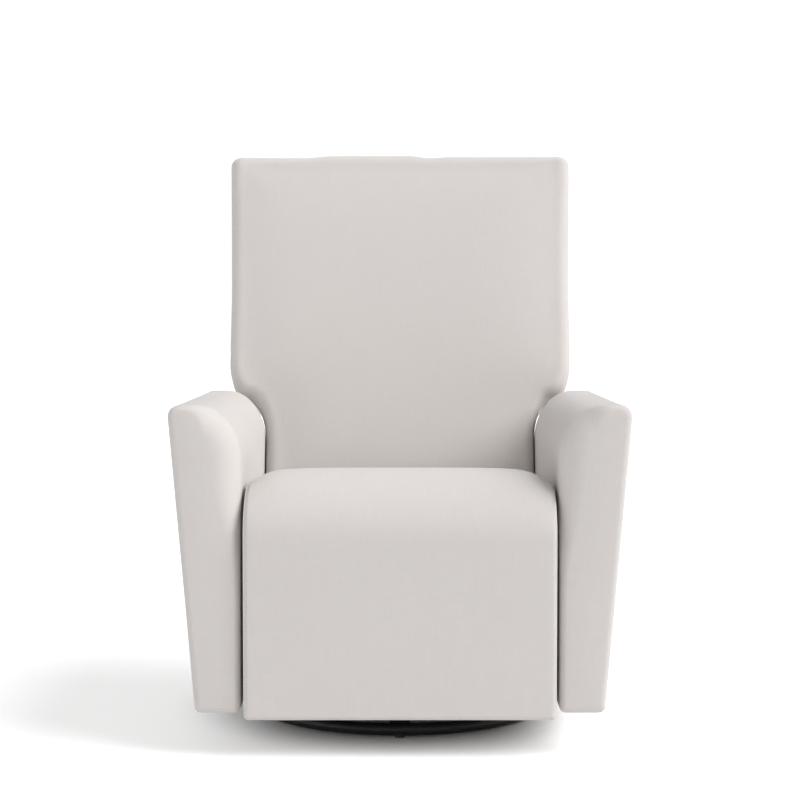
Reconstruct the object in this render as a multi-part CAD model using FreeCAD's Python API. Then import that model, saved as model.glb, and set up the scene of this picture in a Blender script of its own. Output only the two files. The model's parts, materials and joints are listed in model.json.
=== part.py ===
"""Swivel-glider recliner chair for a nursery: every separate piece as its own solid.

Millimetres. +X is the viewer's right, -Y is the front, +Z is up. The origin is on
the floor, on the swivel axis. Everything is modelled upright, at rest.
"""
import FreeCAD, Part
import os
from math import atan2, cos, degrees, pi, radians, sin, sqrt, tan

from FreeCAD import Vector

# ---------------------------------------------------------------- driving dimensions
WIDTH = 780.0                # over the tops of the arms
DEPTH = 900.0                # front of the leg rest to the rear of the back
FRONT = -DEPTH / 2           # front face of the leg-rest cushion

# arms
ARM_TOP = 603.0
ARM_BOTTOM = 76.0
ARM_INSIDE = 272.0           # distance of the inner face from the middle plane
ARM_OUT_BOTTOM = 340.0       # outer face at the floor end
ARM_FRONT = FRONT + 14.0
ARM_REAR = 185.0
ARM_OUTER_RADIUS = 20.0
ARM_INNER_RUN = 76.0         # the rolled inner top corner, across and down
ARM_INNER_DROP = 95.0
ARM_CURL = 0.55              # fullness of that corner
ARM_REAR_RADIUS = 50.0
ARM_EDGE = 12.0
ARM_WOOD_X = (288.0, 322.0)
ARM_WOOD_Y = (-405.0, 150.0)
ARM_WOOD_Z = (96.0, 545.0)
ARM_WOOD_WIDE = 60.0

# hand control in the outer face of the left arm
CONTROL_Y = -190.0
CONTROL_Z = 500.0
CONTROL_WIDE = 46.0
CONTROL_TALL = 96.0
CONTROL_PROUD = 3.0
CONTROL_DEEP = 25.0
CONTROL_LIP = 10.0           # how much smaller the switch body is than its face plate
CONTROL_CORNER = 9.0
BUTTON_RADIUS = 6.5
BUTTON_PLAY = 0.4
BUTTON_PROUD = 2.5
BUTTON_DEEP = 8.0
BUTTON_RIM = 1.0
BUTTON_SPOTS = {"legs_up": (-11, 22), "legs_down": (-11, -22),
                "back_down": (11, -22), "back_up": (11, 22)}

# seat
SEAT_TOP = 484.0
SEAT_UNDER = 374.0
SEAT_BEND = SEAT_TOP - SEAT_UNDER    # radius of the waterfall front
SEAT_SLOPE = 6.0             # fall of the seat towards the back, in degrees
PAD_HALF = 267.0             # half width of the seat and leg-rest cushions
SEAT_BACK_GAP = 4.0

# leg rest
LEGREST_TOP = SEAT_UNDER - 8.0
LEGREST_BOTTOM = 72.0
LEGREST_THICK = 75.0
LEGREST_ANGLE = 85.0         # swing of the leg rest
BOARD_THICK = 15.0
BOARD_GAP = 1.0
BOARD_HALF = 250.0
BOARD_INSET = 20.0
BRACKET_FOOT = 60.0

# back
LEAN = 17.0                  # lean of the back at rest
RECLINE_ANGLE = 35.0         # swing of the back
RECLINE = Vector(0, 150, 352)        # recline axis
BACK_FRONT_Y = 108.0         # where the back's front face meets the seat's crown
BACK_THICK = 169.0
BACK_TOP = 755.0             # measured up the back from the recline axis
BACK_SHOULDER = 240.0
BACK_LOW = 28.0
BACK_LIP = 8.0
BACK_HALF = 352.0            # half width above the arms
BACK_WAIST = 266.0           # half width between the arms
BACK_ROUND = 28.0
BACK_TOP_CORNER = 22.0
BACK_SHOULDER_CORNER = 52.0
BACK_WAIST_CORNER = 74.0
LIP_DEPTH = 45.0
COVER_START = 0.5
WOOD_DEPTH = (1.0, 41.0)     # the back's wooden frame, behind the recline axis
FRAME_LOW = 25.0
FRAME_TOP = 735.0
FRAME_MID = (270.0, 310.0)
FRAME_RAIL = 45.0
WING_X = (305.0, 330.0)
BACK_SPRING_X = (-150, -50, 50, 150)
BRACKET_CLEAR = 10.0
BACK_BRACKET_TOP = 190.0
BRACKET_NECK = 18.0

# rear panel and power inlet
REAR_PANEL_Y = (172.0, 184.0)
REAR_PANEL_Z = (80.0, 318.0)
REAR_PANEL_GAP = 1.0
INLET_X = 190.0
INLET_Z = 110.0
INLET_RADIUS = 11.0
INLET_FLANGE = 14.0
INLET_LIP = 2.0
SOCKET_RADIUS = 2.9
SOCKET_DEEP = 9.0

# floor ring and swivel
RING_RADIUS = 281.0
RING_TUBE = 11.0
SPOKE_WIDE = 37.0
SPOKE_THICK = 8.0
FOOT_HIGH = 3.0              # the glides hold the ring this far off the floor
FOOT_COUNT = 6
FOOT_FIRST = 30.0            # angle of the first glide
FOOT_RADIUS = 9.0
HUB_RADIUS = 90.0
HUB_THICK = 6.0
RACE_RADIUS = 70.0
RACE_THICK = 8.0
RACE_BORE = 30.0
BOLT_RADIUS = 8.0
BOLT_HEAD = 14.0
BOLT_HEAD_HIGH = 6.0
NUT_HIGH = 9.0
TURN_GAP = 0.5               # running gap of the swivel

# turning platform
TURN_BOTTOM = FOOT_HIGH + RING_TUBE + SPOKE_THICK + HUB_THICK + RACE_THICK + TURN_GAP
TURN_PLATE = 5.0
TURN_HALF = 100.0
BEAM_HIGH = 24.0
BEAM_Y = (60.0, 95.0)
BASE_RAIL_HIGH = 30.0
BASE_RAIL_Y = (-190.0, 110.0)
UPRIGHT_HALF = 20.0

# glide linkage
LINK_LENGTH = 150.0
LINK_Y = {"front": -160.0, "rear": 90.0}
LINK_TOP = 290.0
LINK_BOTTOM = LINK_TOP - LINK_LENGTH
LINK_RADIUS = 14.0
PIN_RADIUS = 6.0
PIN_END = 1.0                # how far a pin stands out past its bar
FIT = 0.1                    # radial clearance of a pin in its hole
LOOSE = 0.3                  # radial clearance of a pin that closes a linkage

# planes of the flat steel parts, outwards from the middle
SUPPORT_X = (151.0, 156.0)
DRIVE_X = (158.0, 163.0)
RAIL_X = (176.0, 196.0)
UPRIGHT_X = (196.0, 200.0)
LINK_X = (202.0, 207.0)
PLATE_X = (209.0, 214.0)
BRACKET_X = (216.5, 221.5)
STILE_X = (BRACKET_X[1], 247.0)

# chair's side plates and the tubes between them
PLATE_OUTLINE = ((-232, 346), (-232, 300), (-188, 118), (118, 118),
                 (168, 330), (166, 370), (138, 370), (100, 346))
PLATE_CORNER = 8.0
CROSS_TUBES = ((-75.0, -55.0), (-15.0, 5.0))
CROSS_TUBE_Z = (185.0, 205.0)

# leg-rest linkage: the leg rest turns about a line near the face of the bend, so that
# its cover keeps its length, and a parallelogram of bars carries it
AXIS_SHARE = 0.215           # of the bend's radius, in from its front and its top
LEG_AXIS = Vector(0, FRONT + AXIS_SHARE * SEAT_BEND, SEAT_TOP - AXIS_SHARE * SEAT_BEND)
LEG_TO_LINK = Vector(0, 91, -210)    # from the leg axis to the bracket's pin
DRIVE_PIVOT = Vector(0, -200, 325)
ELBOW = DRIVE_PIVOT + LEG_TO_LINK
BRACKET_PIN = LEG_AXIS + LEG_TO_LINK
BAR_RADIUS = 12.0
BAR_PIN = 5.0
DRIVE_RADIUS = 17.0
TUBE_OUT = 12.5
TUBE_IN = 10.0

# actuators: a motor turns a screw in a rail, and the nut's slotted yoke moves a crank
LEG_ACTUATOR_X = 70.0
BACK_ACTUATOR_X = -70.0
RAIL_WIDE = 30.0
RAIL_HIGH = 20.0
LEG_RAIL_Z = 226.0
BACK_RAIL_Z = 205.0
LEG_CRANK = 55.0
BACK_CRANK = 100.0
BACK_CRANK_START = 0.0       # behind straight down, at rest
CRANK_RADIUS = 10.0
CRANK_OFFSET = 10.0
CRANK_THICK = 5.0
CRANK_PIN = 4.0
YOKE_PLAY = 2.0
YOKE_HALF = 14.0
YOKE_RIM = 5.0
NUT_HALF = {"leg": 25.0, "back": 16.5}
NUT_WALL = 5.0
MOTOR_RADIUS = 19.5
LEG_MOTOR_END = 130.0
BACK_MOTOR_END = -140.0
GEARBOX_HALF = 25.0
GEARBOX_RISE = 40.0
GEARBOX_Y = (-40.0, 10.0)
HANGER_THICK = 10.0

# seat frame
WOOD_TOP = 368.0
WOOD_BOTTOM = 310.0
SIDE_RAIL_X = (PLATE_X[1], 260.0)
RAIL_FRONT = (-335.0, -300.0)
RAIL_REAR = (35.0, 70.0)
LEG_RAIL_Y = (RAIL_FRONT[0], GEARBOX_Y[0])
BACK_RAIL_Y = (GEARBOX_Y[1], 169.0)
SPRING_WIRE = 2.0
SPRING_PITCH = 40.0
SPRING_REACH = 22.0
SPRING_MARGIN = 12.0
SEAT_SPRING_X = (-170, -85, 0, 85, 170)
ARM_BRACKET_LONG = 60.0
ARM_BRACKET_Y = (-320.0, -5.0)

OUTWARDS = Vector(1, 0, 0)
MIDDLE = Vector(0, 0, 0)
TOUCH = 0.01                 # two faces closer than this are the same


# ------------------------------------------------------------------------- helpers
def block(xs, ys, zs):
    """A box between pairs of limits."""
    return Part.makeBox(xs[1] - xs[0], ys[1] - ys[0], zs[1] - zs[0], Vector(xs[0], ys[0], zs[0]))


def rod(spot, radius, xs):
    """A round bar along X through a point of the YZ plane."""
    return Part.makeCylinder(radius, xs[1] - xs[0], Vector(xs[0], spot.y, spot.z), OUTWARDS)


def slab(points, xs):
    """A flat plate whose outline is given in Y and Z."""
    corners = [Vector(xs[0], y, z) for y, z in points]
    face = Part.Face(Part.makePolygon(corners + corners[:1]))
    return face.extrude(Vector(xs[1] - xs[0], 0, 0))


def link(start, end, radius, xs, holes):
    """A flat bar with round ends and one hole per end."""
    run = end - start
    length = sqrt(run.y ** 2 + run.z ** 2)
    bar = Part.makeBox(xs[1] - xs[0], length, 2 * radius, Vector(xs[0], start.y, start.z - radius))
    bar.rotate(start, OUTWARDS, degrees(atan2(run.z, run.y)))
    bar = bar.fuse([rod(start, radius, xs), rod(end, radius, xs)]).removeSplitter()
    for spot, hole in zip((start, end), holes):
        bar = bar.cut(rod(spot, hole, xs))
    return bar


def pair(xs):
    """The same span of X on the other side of the middle plane."""
    return -xs[1], -xs[0]


def mirrored(shape):
    """The same shape on the other side of the middle plane."""
    return shape.mirror(MIDDLE, OUTWARDS)


def edges_on(shape, axis, value):
    """Edges that lie in the plane where one coordinate has one value."""
    low, high = axis + "Min", axis + "Max"
    return [edge for edge in shape.Edges
            if abs(getattr(edge.BoundBox, low) - value) < TOUCH
            and abs(getattr(edge.BoundBox, high) - value) < TOUCH]


def leaned(shape):
    """Lean an upright shape of the back about the recline axis."""
    turned = shape.copy()
    turned.rotate(RECLINE, OUTWARDS, -LEAN)
    return turned


def zigzag(x, start, end, height):
    """A sinuous spring: a round wire in crosswise runs joined by half circles."""
    runs = int((end - start) // SPRING_PITCH)
    pitch = (end - start) / runs
    edges = []
    side = 1
    for i in range(runs):
        y = start + i * pitch
        here, there = Vector(x - side * SPRING_REACH, y, height), Vector(x + side * SPRING_REACH, y, height)
        edges.append(Part.LineSegment(here, there).toShape())
        if i < runs - 1:
            middle = Vector(there.x + side * pitch / 2, y + pitch / 2, height)
            edges.append(Part.Arc(there, middle, there + Vector(0, pitch, 0)).toShape())
        side = -side
    path = Part.Wire(edges)
    first = Vector(x - SPRING_REACH, start, height)
    section = Part.Wire(Part.makeCircle(SPRING_WIRE, first, OUTWARDS))
    return path.makePipeShell([section], True, False)


def save(name, *shapes):
    """Write one sub-part, which may be a group of separate solids."""
    shape = shapes[0] if len(shapes) == 1 else Part.makeCompound(list(shapes))
    if not shape.isValid() or not shape.Solids:
        raise ValueError(f"{name} isn't a valid solid")
    shape.exportStep(os.path.join("parts", name + ".step"))


# ------------------------------------------------------------- floor ring and swivel
def floor_ring():
    """The ring, its cross of flat bars, the bearing and the glides under it."""
    height = FOOT_HIGH + RING_TUBE
    ring = Part.makeTorus(RING_RADIUS, RING_TUBE, Vector(0, 0, height))
    bar = block((-RING_RADIUS, RING_RADIUS), (-SPOKE_WIDE / 2, SPOKE_WIDE / 2),
                (height, height + SPOKE_THICK))
    other = bar.copy()
    other.rotate(MIDDLE, Vector(0, 0, 1), 90)
    cross = bar.fuse(other).removeSplitter().cut(ring)
    top = height + SPOKE_THICK
    bolt_hole = Part.makeCylinder(BOLT_RADIUS + FIT, 2 * top, MIDDLE)
    cross = cross.cut(bolt_hole)
    hub = Part.makeCylinder(HUB_RADIUS, HUB_THICK, Vector(0, 0, top)).cut(bolt_hole)
    race = Part.makeCylinder(RACE_RADIUS, RACE_THICK, Vector(0, 0, top + HUB_THICK)).cut(
        Part.makeCylinder(RACE_BORE, 2 * RACE_THICK, Vector(0, 0, top + HUB_THICK)))
    nut_bottom = TURN_BOTTOM + TURN_PLATE + TURN_GAP
    bolt = Part.makeCylinder(BOLT_RADIUS, nut_bottom + NUT_HIGH - height, Vector(0, 0, height)).fuse(
        [Part.makeCylinder(BOLT_HEAD, BOLT_HEAD_HIGH, Vector(0, 0, height - BOLT_HEAD_HIGH)),
         Part.makeCylinder(BOLT_HEAD, NUT_HIGH, Vector(0, 0, nut_bottom))])
    feet = []
    for i in range(FOOT_COUNT):
        turn = radians(FOOT_FIRST + i * 360 / FOOT_COUNT)
        spot = Vector(RING_RADIUS * cos(turn), RING_RADIUS * sin(turn), 0)
        feet.append(Part.makeCylinder(FOOT_RADIUS, height, spot).cut(ring))
    save("base_ring", ring)
    save("base_cross", cross)
    save("hub_plate", hub)
    save("bearing_race", race)
    save("swivel_bolt", bolt.removeSplitter())
    save("floor_glides", *feet)


# -------------------------------------------------------------------- glide platform
def glide_platform():
    """The turning platform and the four uprights that the chair hangs from."""
    plate_top = TURN_BOTTOM + TURN_PLATE
    beam_top = plate_top + BEAM_HIGH
    rail_top = beam_top + BASE_RAIL_HIGH
    bolt_hole = Part.makeCylinder(BOLT_RADIUS + FIT, beam_top, MIDDLE)
    plate = block((-TURN_HALF, TURN_HALF), (-TURN_HALF, TURN_HALF), (TURN_BOTTOM, plate_top))
    save("swivel_plate", plate.cut(bolt_hole))
    span = (-RAIL_X[1], RAIL_X[1])
    frame = block(span, BEAM_Y, (plate_top, beam_top))
    frame = frame.fuse([block(span, pair(BEAM_Y), (plate_top, beam_top))]
                       + [block(xs, BASE_RAIL_Y, (beam_top, rail_top))
                          for xs in (RAIL_X, pair(RAIL_X))])
    save("glide_base_frame", frame.removeSplitter())

    uprights, pins = [], []
    for y in LINK_Y.values():
        top = Vector(0, y, LINK_TOP)
        foot = (y - UPRIGHT_HALF, y + UPRIGHT_HALF)
        upright = block(UPRIGHT_X, foot, (beam_top, LINK_TOP))
        uprights.append(upright.fuse(rod(top, LINK_RADIUS, UPRIGHT_X)).removeSplitter().cut(
            rod(top, PIN_RADIUS, UPRIGHT_X)))
        pins.append(rod(top, PIN_RADIUS, (UPRIGHT_X[0], LINK_X[1] + PIN_END)))
    save("glide_uprights_right", *uprights)
    save("glide_uprights_left", *[mirrored(shape) for shape in uprights])
    save("glide_top_pins", *(pins + [mirrored(pin) for pin in pins]))


def glide_links():
    """Four hanging links; the rear pair closes the linkage, so its lower holes are looser."""
    for name, play in (("front", FIT), ("rear", LOOSE)):
        y = LINK_Y[name]
        top, bottom = Vector(0, y, LINK_TOP), Vector(0, y, LINK_BOTTOM)
        bar = link(top, bottom, LINK_RADIUS, LINK_X, (PIN_RADIUS + FIT, PIN_RADIUS + play))
        save(f"{name}_glide_link_right", bar)
        save(f"{name}_glide_link_left", mirrored(bar))


# ----------------------------------------------------------------- chair's steel parts
def mechanism_plates():
    """Side plates that carry the glide, leg-rest and recline pivots."""
    drive, recline = DRIVE_PIVOT, RECLINE
    plate = slab(PLATE_OUTLINE, PLATE_X)
    upright_edges = [edge for edge in plate.Edges if edge.BoundBox.XLength > 1]
    plate = plate.makeFillet(PLATE_CORNER, upright_edges)
    pins = []
    for y in LINK_Y.values():
        low = Vector(0, y, LINK_BOTTOM)
        plate = plate.cut(rod(low, PIN_RADIUS, PLATE_X))
        pins.append(rod(low, PIN_RADIUS, (LINK_X[0] - PIN_END, PLATE_X[1])))
    plate = plate.cut(rod(drive, TUBE_OUT + FIT, PLATE_X)).cut(rod(recline, TUBE_OUT + FIT, PLATE_X))
    save("mechanism_plate_right", plate)
    save("mechanism_plate_left", mirrored(plate))
    save("glide_bottom_pins", *(pins + [mirrored(pin) for pin in pins]))
    span = (-PLATE_X[0], PLATE_X[0])
    save("mechanism_cross_tubes", *[block(span, ys, CROSS_TUBE_Z) for ys in CROSS_TUBES])


def seat_frame():
    """Wooden rails round the seat, the springs across them and the arm brackets."""
    height = (WOOD_BOTTOM, WOOD_TOP)
    side = block(SIDE_RAIL_X, (RAIL_FRONT[0], RAIL_REAR[1]), height)
    save("seat_rail_right", side)
    save("seat_rail_left", mirrored(side))
    save("seat_rail_front", block((-SIDE_RAIL_X[0], SIDE_RAIL_X[0]), RAIL_FRONT, height))
    save("seat_rail_rear", block((-PLATE_X[0], PLATE_X[0]), RAIL_REAR, height))
    spring_z = WOOD_TOP + SPRING_WIRE
    save("seat_springs", *[zigzag(x, RAIL_FRONT[0] + SPRING_MARGIN, RAIL_REAR[1], spring_z)
                           for x in SEAT_SPRING_X])
    brackets = [block((SIDE_RAIL_X[1], ARM_INSIDE), (y, y + ARM_BRACKET_LONG), height)
                for y in ARM_BRACKET_Y]
    save("arm_brackets", *(brackets + [mirrored(shape) for shape in brackets]))


# ------------------------------------------------------------------------------- arms
def arm_body():
    """The padded right arm: tapered outside, rolled over on the inside."""
    outer = WIDTH / 2
    inner_top = ARM_TOP - ARM_INNER_DROP
    low_in, low_out = Vector(ARM_INSIDE, 0, ARM_BOTTOM), Vector(ARM_OUT_BOTTOM, 0, ARM_BOTTOM)
    curl_start, curl_end = Vector(ARM_INSIDE, 0, inner_top), Vector(ARM_INSIDE + ARM_INNER_RUN, 0, ARM_TOP)
    roll = Part.BezierCurve()
    roll.setPoles([curl_start, curl_start + Vector(0, 0, ARM_CURL * ARM_INNER_DROP),
                   curl_end - Vector(ARM_CURL * ARM_INNER_RUN, 0, 0), curl_end])
    round_in = Vector(outer - ARM_OUTER_RADIUS, 0, ARM_TOP)
    round_out = Vector(outer, 0, ARM_TOP - ARM_OUTER_RADIUS)
    reach = ARM_OUTER_RADIUS * sin(radians(45))
    round_mid = Vector(round_in.x + reach, 0, round_out.z + reach)
    outline = Part.Wire([Part.LineSegment(low_in, curl_start).toShape(), roll.toShape(),
                         Part.LineSegment(curl_end, round_in).toShape(),
                         Part.Arc(round_in, round_mid, round_out).toShape(),
                         Part.LineSegment(round_out, low_out).toShape(),
                         Part.LineSegment(low_out, low_in).toShape()])
    outline.translate(Vector(0, ARM_FRONT, 0))
    arm = Part.Face(outline).extrude(Vector(0, ARM_REAR - ARM_FRONT, 0))
    side = slab([(ARM_FRONT, ARM_BOTTOM), (ARM_REAR, ARM_BOTTOM), (ARM_REAR, ARM_TOP),
                 (ARM_FRONT, ARM_TOP)], (0, outer))
    rear_top = [edge for edge in edges_on(side, "Y", ARM_REAR) if abs(edge.BoundBox.ZMin - ARM_TOP) < TOUCH]
    arm = arm.common(side.makeFillet(ARM_REAR_RADIUS, rear_top))
    return arm.makeFillet(ARM_EDGE, edges_on(arm, "Y", ARM_FRONT))


def arm_wood():
    """The open wooden frame inside an arm."""
    wide = ARM_WOOD_WIDE
    outer = block(ARM_WOOD_X, ARM_WOOD_Y, ARM_WOOD_Z)
    window = block(ARM_WOOD_X, (ARM_WOOD_Y[0] + wide, ARM_WOOD_Y[1] - wide),
                   (ARM_WOOD_Z[0] + wide, ARM_WOOD_Z[1] - wide))
    return outer.cut(window)


def arms():
    """Both arms, their wooden frames and the hand control in the left one."""
    wood = arm_wood()
    arm = arm_body().cut(wood)
    control = control_housing()
    recess = control_recess()
    save("arm_frame_right", wood)
    save("arm_frame_left", mirrored(wood))
    save("arm_right", arm)
    save("arm_left", mirrored(arm).cut(recess))
    save("control_panel", control)


# ---------------------------------------------------------------------- hand control
def on_arm(shape):
    """Tilt a control part from upright onto the slanting outer face of the left arm."""
    slope = (WIDTH / 2 - ARM_OUT_BOTTOM) / (ARM_TOP - ARM_OUTER_RADIUS - ARM_BOTTOM)
    face_x = ARM_OUT_BOTTOM + (CONTROL_Z - ARM_BOTTOM) * slope
    placed = shape.copy()
    placed.rotate(MIDDLE, Vector(0, 1, 0), -degrees(atan2(slope, 1)))
    placed.translate(Vector(-face_x, CONTROL_Y, CONTROL_Z))
    return placed


def rounded_block(wide, tall, xs, corner):
    """A block with four rounded corners, its length along X."""
    shape = block(xs, (-wide / 2, wide / 2), (-tall / 2, tall / 2))
    long_edges = [edge for edge in shape.Edges if edge.BoundBox.XLength > (xs[1] - xs[0]) / 2]
    return shape.makeFillet(corner, long_edges)


def control_body():
    """The switch body that sinks into the arm."""
    wide, tall = CONTROL_WIDE - CONTROL_LIP, CONTROL_TALL - CONTROL_LIP
    return rounded_block(wide, tall, (0, CONTROL_DEEP), CONTROL_CORNER)


def control_housing():
    """The face plate and switch body, with a well for each button."""
    face = rounded_block(CONTROL_WIDE, CONTROL_TALL, (-CONTROL_PROUD, 0), CONTROL_CORNER + CONTROL_LIP / 2)
    housing = face.fuse(control_body()).removeSplitter()
    depths = (-CONTROL_PROUD, BUTTON_DEEP + 2 * BUTTON_PROUD)
    for y, z in BUTTON_SPOTS.values():
        well = rod(Vector(0, y, z), BUTTON_RADIUS + BUTTON_PLAY, depths)
        housing = housing.cut(well)
    return on_arm(housing)


def control_recess():
    """The pocket in the arm for the switch body."""
    return on_arm(control_body())


def buttons():
    """Four push buttons: legs up and down, back up and down."""
    for name, (y, z) in BUTTON_SPOTS.items():
        start = -CONTROL_PROUD - BUTTON_PROUD
        button = rod(Vector(0, y, z), BUTTON_RADIUS, (start, BUTTON_DEEP))
        rim = edges_on(button, "X", start)
        save(f"button_{name}", on_arm(button.makeFillet(BUTTON_RIM, rim)))


# ------------------------------------------------------------------ seat and leg rest
def seat_cushion():
    """The seat cushion: a waterfall front, a top that falls towards the back, a leaned rear."""
    slope, lean = radians(SEAT_SLOPE), radians(LEAN)
    centre = Vector(0, FRONT + SEAT_BEND, SEAT_UNDER)
    bend_low = Vector(0, FRONT, SEAT_UNDER)
    middle, end = (pi / 2 + slope) / 2, pi / 2 + slope
    bend_mid, bend_top = [centre + Vector(0, -SEAT_BEND * cos(turn), SEAT_BEND * sin(turn))
                          for turn in (middle, end)]
    rear = Vector(0, BACK_FRONT_Y - SEAT_BACK_GAP, SEAT_TOP)
    fall = ((rear.y - bend_top.y) * tan(slope) + rear.z - bend_top.z) / (1 - tan(slope) * tan(lean))
    rear_top = rear - Vector(0, fall * tan(lean), fall)
    rear_low = rear - Vector(0, SEAT_BEND * tan(lean), SEAT_BEND)
    outline = Part.Wire([Part.Arc(bend_low, bend_mid, bend_top).toShape(),
                         Part.LineSegment(bend_top, rear_top).toShape(),
                         Part.LineSegment(rear_top, rear_low).toShape(),
                         Part.LineSegment(rear_low, bend_low).toShape()])
    outline.translate(Vector(-PAD_HALF, 0, 0))
    save("seat_cushion", Part.Face(outline).extrude(Vector(2 * PAD_HALF, 0, 0)))


def leg_rest():
    """Cushion, board and brackets of the leg rest."""
    cushion = block((-PAD_HALF, PAD_HALF), (FRONT, FRONT + LEGREST_THICK), (LEGREST_BOTTOM, LEGREST_TOP))
    front_edges = [edge for edge in edges_on(cushion, "Y", FRONT)
                   if edge.BoundBox.ZMax < LEGREST_TOP - 1 or edge.BoundBox.ZLength > 1]
    save("legrest_cushion", cushion.makeFillet(ARM_EDGE, front_edges))
    board_front = FRONT + LEGREST_THICK + BOARD_GAP
    board_rear = board_front + BOARD_THICK
    save("legrest_board", block((-BOARD_HALF, BOARD_HALF), (board_front, board_rear),
                                (LEGREST_BOTTOM + BOARD_INSET, LEGREST_TOP - BOARD_INSET / 2)))
    pin = BRACKET_PIN
    bracket = slab([(board_rear, pin.z - BRACKET_FOOT), (board_rear, pin.z + BRACKET_FOOT),
                    (pin.y + BAR_RADIUS / 2, pin.z + BAR_RADIUS),
                    (pin.y + BAR_RADIUS / 2, pin.z - BAR_RADIUS)], DRIVE_X)
    bracket = bracket.fuse(rod(pin, BAR_PIN, (SUPPORT_X[0] - PIN_END, DRIVE_X[1]))).removeSplitter()
    save("legrest_bracket_right", bracket)
    save("legrest_bracket_left", mirrored(bracket))


def leg_linkage():
    """Torque tube, drive arms and support links that carry the leg rest."""
    tube = rod(DRIVE_PIVOT, TUBE_OUT, (-PLATE_X[1] + LOOSE, PLATE_X[1] - LOOSE))
    pin = DRIVE_PIVOT + crank_arm(LEG_CRANK, LEGREST_ANGLE / 2)
    tube = tube.fuse(crank(DRIVE_PIVOT, pin, LEG_ACTUATOR_X))
    save("leg_torque_tube", tube.removeSplitter().cut(rod(DRIVE_PIVOT, TUBE_IN, (-WIDTH, WIDTH))))
    arm = link(DRIVE_PIVOT, ELBOW, DRIVE_RADIUS, DRIVE_X, (TUBE_OUT, BAR_PIN))
    arm = arm.fuse(rod(ELBOW, BAR_PIN, (SUPPORT_X[0] - PIN_END, DRIVE_X[1]))).removeSplitter()
    save("drive_arm_right", arm)
    save("drive_arm_left", mirrored(arm))
    bar = link(ELBOW, BRACKET_PIN, BAR_RADIUS, SUPPORT_X, (BAR_PIN + FIT, BAR_PIN + LOOSE))
    save("support_link_right", bar)
    save("support_link_left", mirrored(bar))


# -------------------------------------------------------------------------- actuators
def crank_arm(length, behind):
    """From a crank's axis to its pin, an angle behind straight down."""
    return Vector(0, length * sin(radians(behind)), -length * cos(radians(behind)))


def crank(axis, pin, x):
    """A crank plate beside an actuator, with a pin that reaches into the yoke."""
    plate = (x + CRANK_OFFSET, x + CRANK_OFFSET + CRANK_THICK)
    bar = link(axis, pin, CRANK_RADIUS, plate, (TUBE_IN, CRANK_PIN / 2))
    return bar.fuse(rod(pin, CRANK_PIN, (x - CRANK_THICK, plate[1])))


def actuator(name, x, rail_z, rail_y, motor_end):
    """A motor and gearbox on one end of a rail."""
    rail = block((x - RAIL_WIDE / 2, x + RAIL_WIDE / 2), rail_y, (rail_z, rail_z + RAIL_HIGH))
    gearbox = block((x - GEARBOX_HALF, x + GEARBOX_HALF), GEARBOX_Y, (CROSS_TUBE_Z[1], rail_z + GEARBOX_RISE))
    start, end = (GEARBOX_Y[1], motor_end) if motor_end > GEARBOX_Y[1] else (motor_end, GEARBOX_Y[0])
    middle = (CROSS_TUBE_Z[1] + rail_z + GEARBOX_RISE) / 2
    motor = Part.makeCylinder(MOTOR_RADIUS, end - start, Vector(x, start, middle), Vector(0, 1, 0))
    save(f"{name}_actuator_rail", rail)
    save(f"{name}_actuator_motor", gearbox.fuse(motor).removeSplitter())


def shuttle(name, x, rail_z, pin, pin_heights):
    """A nut round the rail, with a slotted yoke for the crank's pin."""
    half = NUT_HALF[name]
    wide, top = RAIL_WIDE / 2 + NUT_WALL, rail_z + RAIL_HIGH + NUT_WALL
    nut = block((x - wide, x + wide), (pin.y - half, pin.y + half), (rail_z - NUT_WALL, top))
    hole = block((x - RAIL_WIDE / 2 - LOOSE, x + RAIL_WIDE / 2 + LOOSE), (pin.y - half, pin.y + half),
                 (rail_z - LOOSE, rail_z + RAIL_HIGH + LOOSE))
    plate = (x - CRANK_THICK / 2, x + CRANK_THICK / 2)
    low, high = min(pin_heights), max(pin_heights)
    play = CRANK_PIN + YOKE_PLAY
    yoke = block(plate, (pin.y - YOKE_HALF, pin.y + YOKE_HALF), (top, high + play + YOKE_RIM))
    slot = block(plate, (pin.y - play, pin.y + play), (low - play, high + play))
    save(f"{name}_shuttle", nut.cut(hole).fuse(yoke).removeSplitter().cut(slot))


def actuators():
    """The two motors and the nuts that they drive."""
    actuator("leg", LEG_ACTUATOR_X, LEG_RAIL_Z, LEG_RAIL_Y, LEG_MOTOR_END)
    actuator("back", BACK_ACTUATOR_X, BACK_RAIL_Z, BACK_RAIL_Y, BACK_MOTOR_END)
    hanger = block((LEG_ACTUATOR_X - RAIL_WIDE / 2, LEG_ACTUATOR_X + RAIL_WIDE / 2),
                   (RAIL_FRONT[0], RAIL_FRONT[0] + HANGER_THICK), (LEG_RAIL_Z + RAIL_HIGH, WOOD_BOTTOM))
    save("leg_rail_hanger", hanger)

    leg_pin = DRIVE_PIVOT + crank_arm(LEG_CRANK, LEGREST_ANGLE / 2)
    shuttle("leg", LEG_ACTUATOR_X, LEG_RAIL_Z, leg_pin, (leg_pin.z, DRIVE_PIVOT.z - LEG_CRANK))
    back_pin = RECLINE + crank_arm(BACK_CRANK, BACK_CRANK_START)
    back_end = RECLINE + crank_arm(BACK_CRANK, BACK_CRANK_START - RECLINE_ANGLE)
    shuttle("back", BACK_ACTUATOR_X, BACK_RAIL_Z, back_pin, (back_end.z, RECLINE.z - BACK_CRANK))


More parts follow.
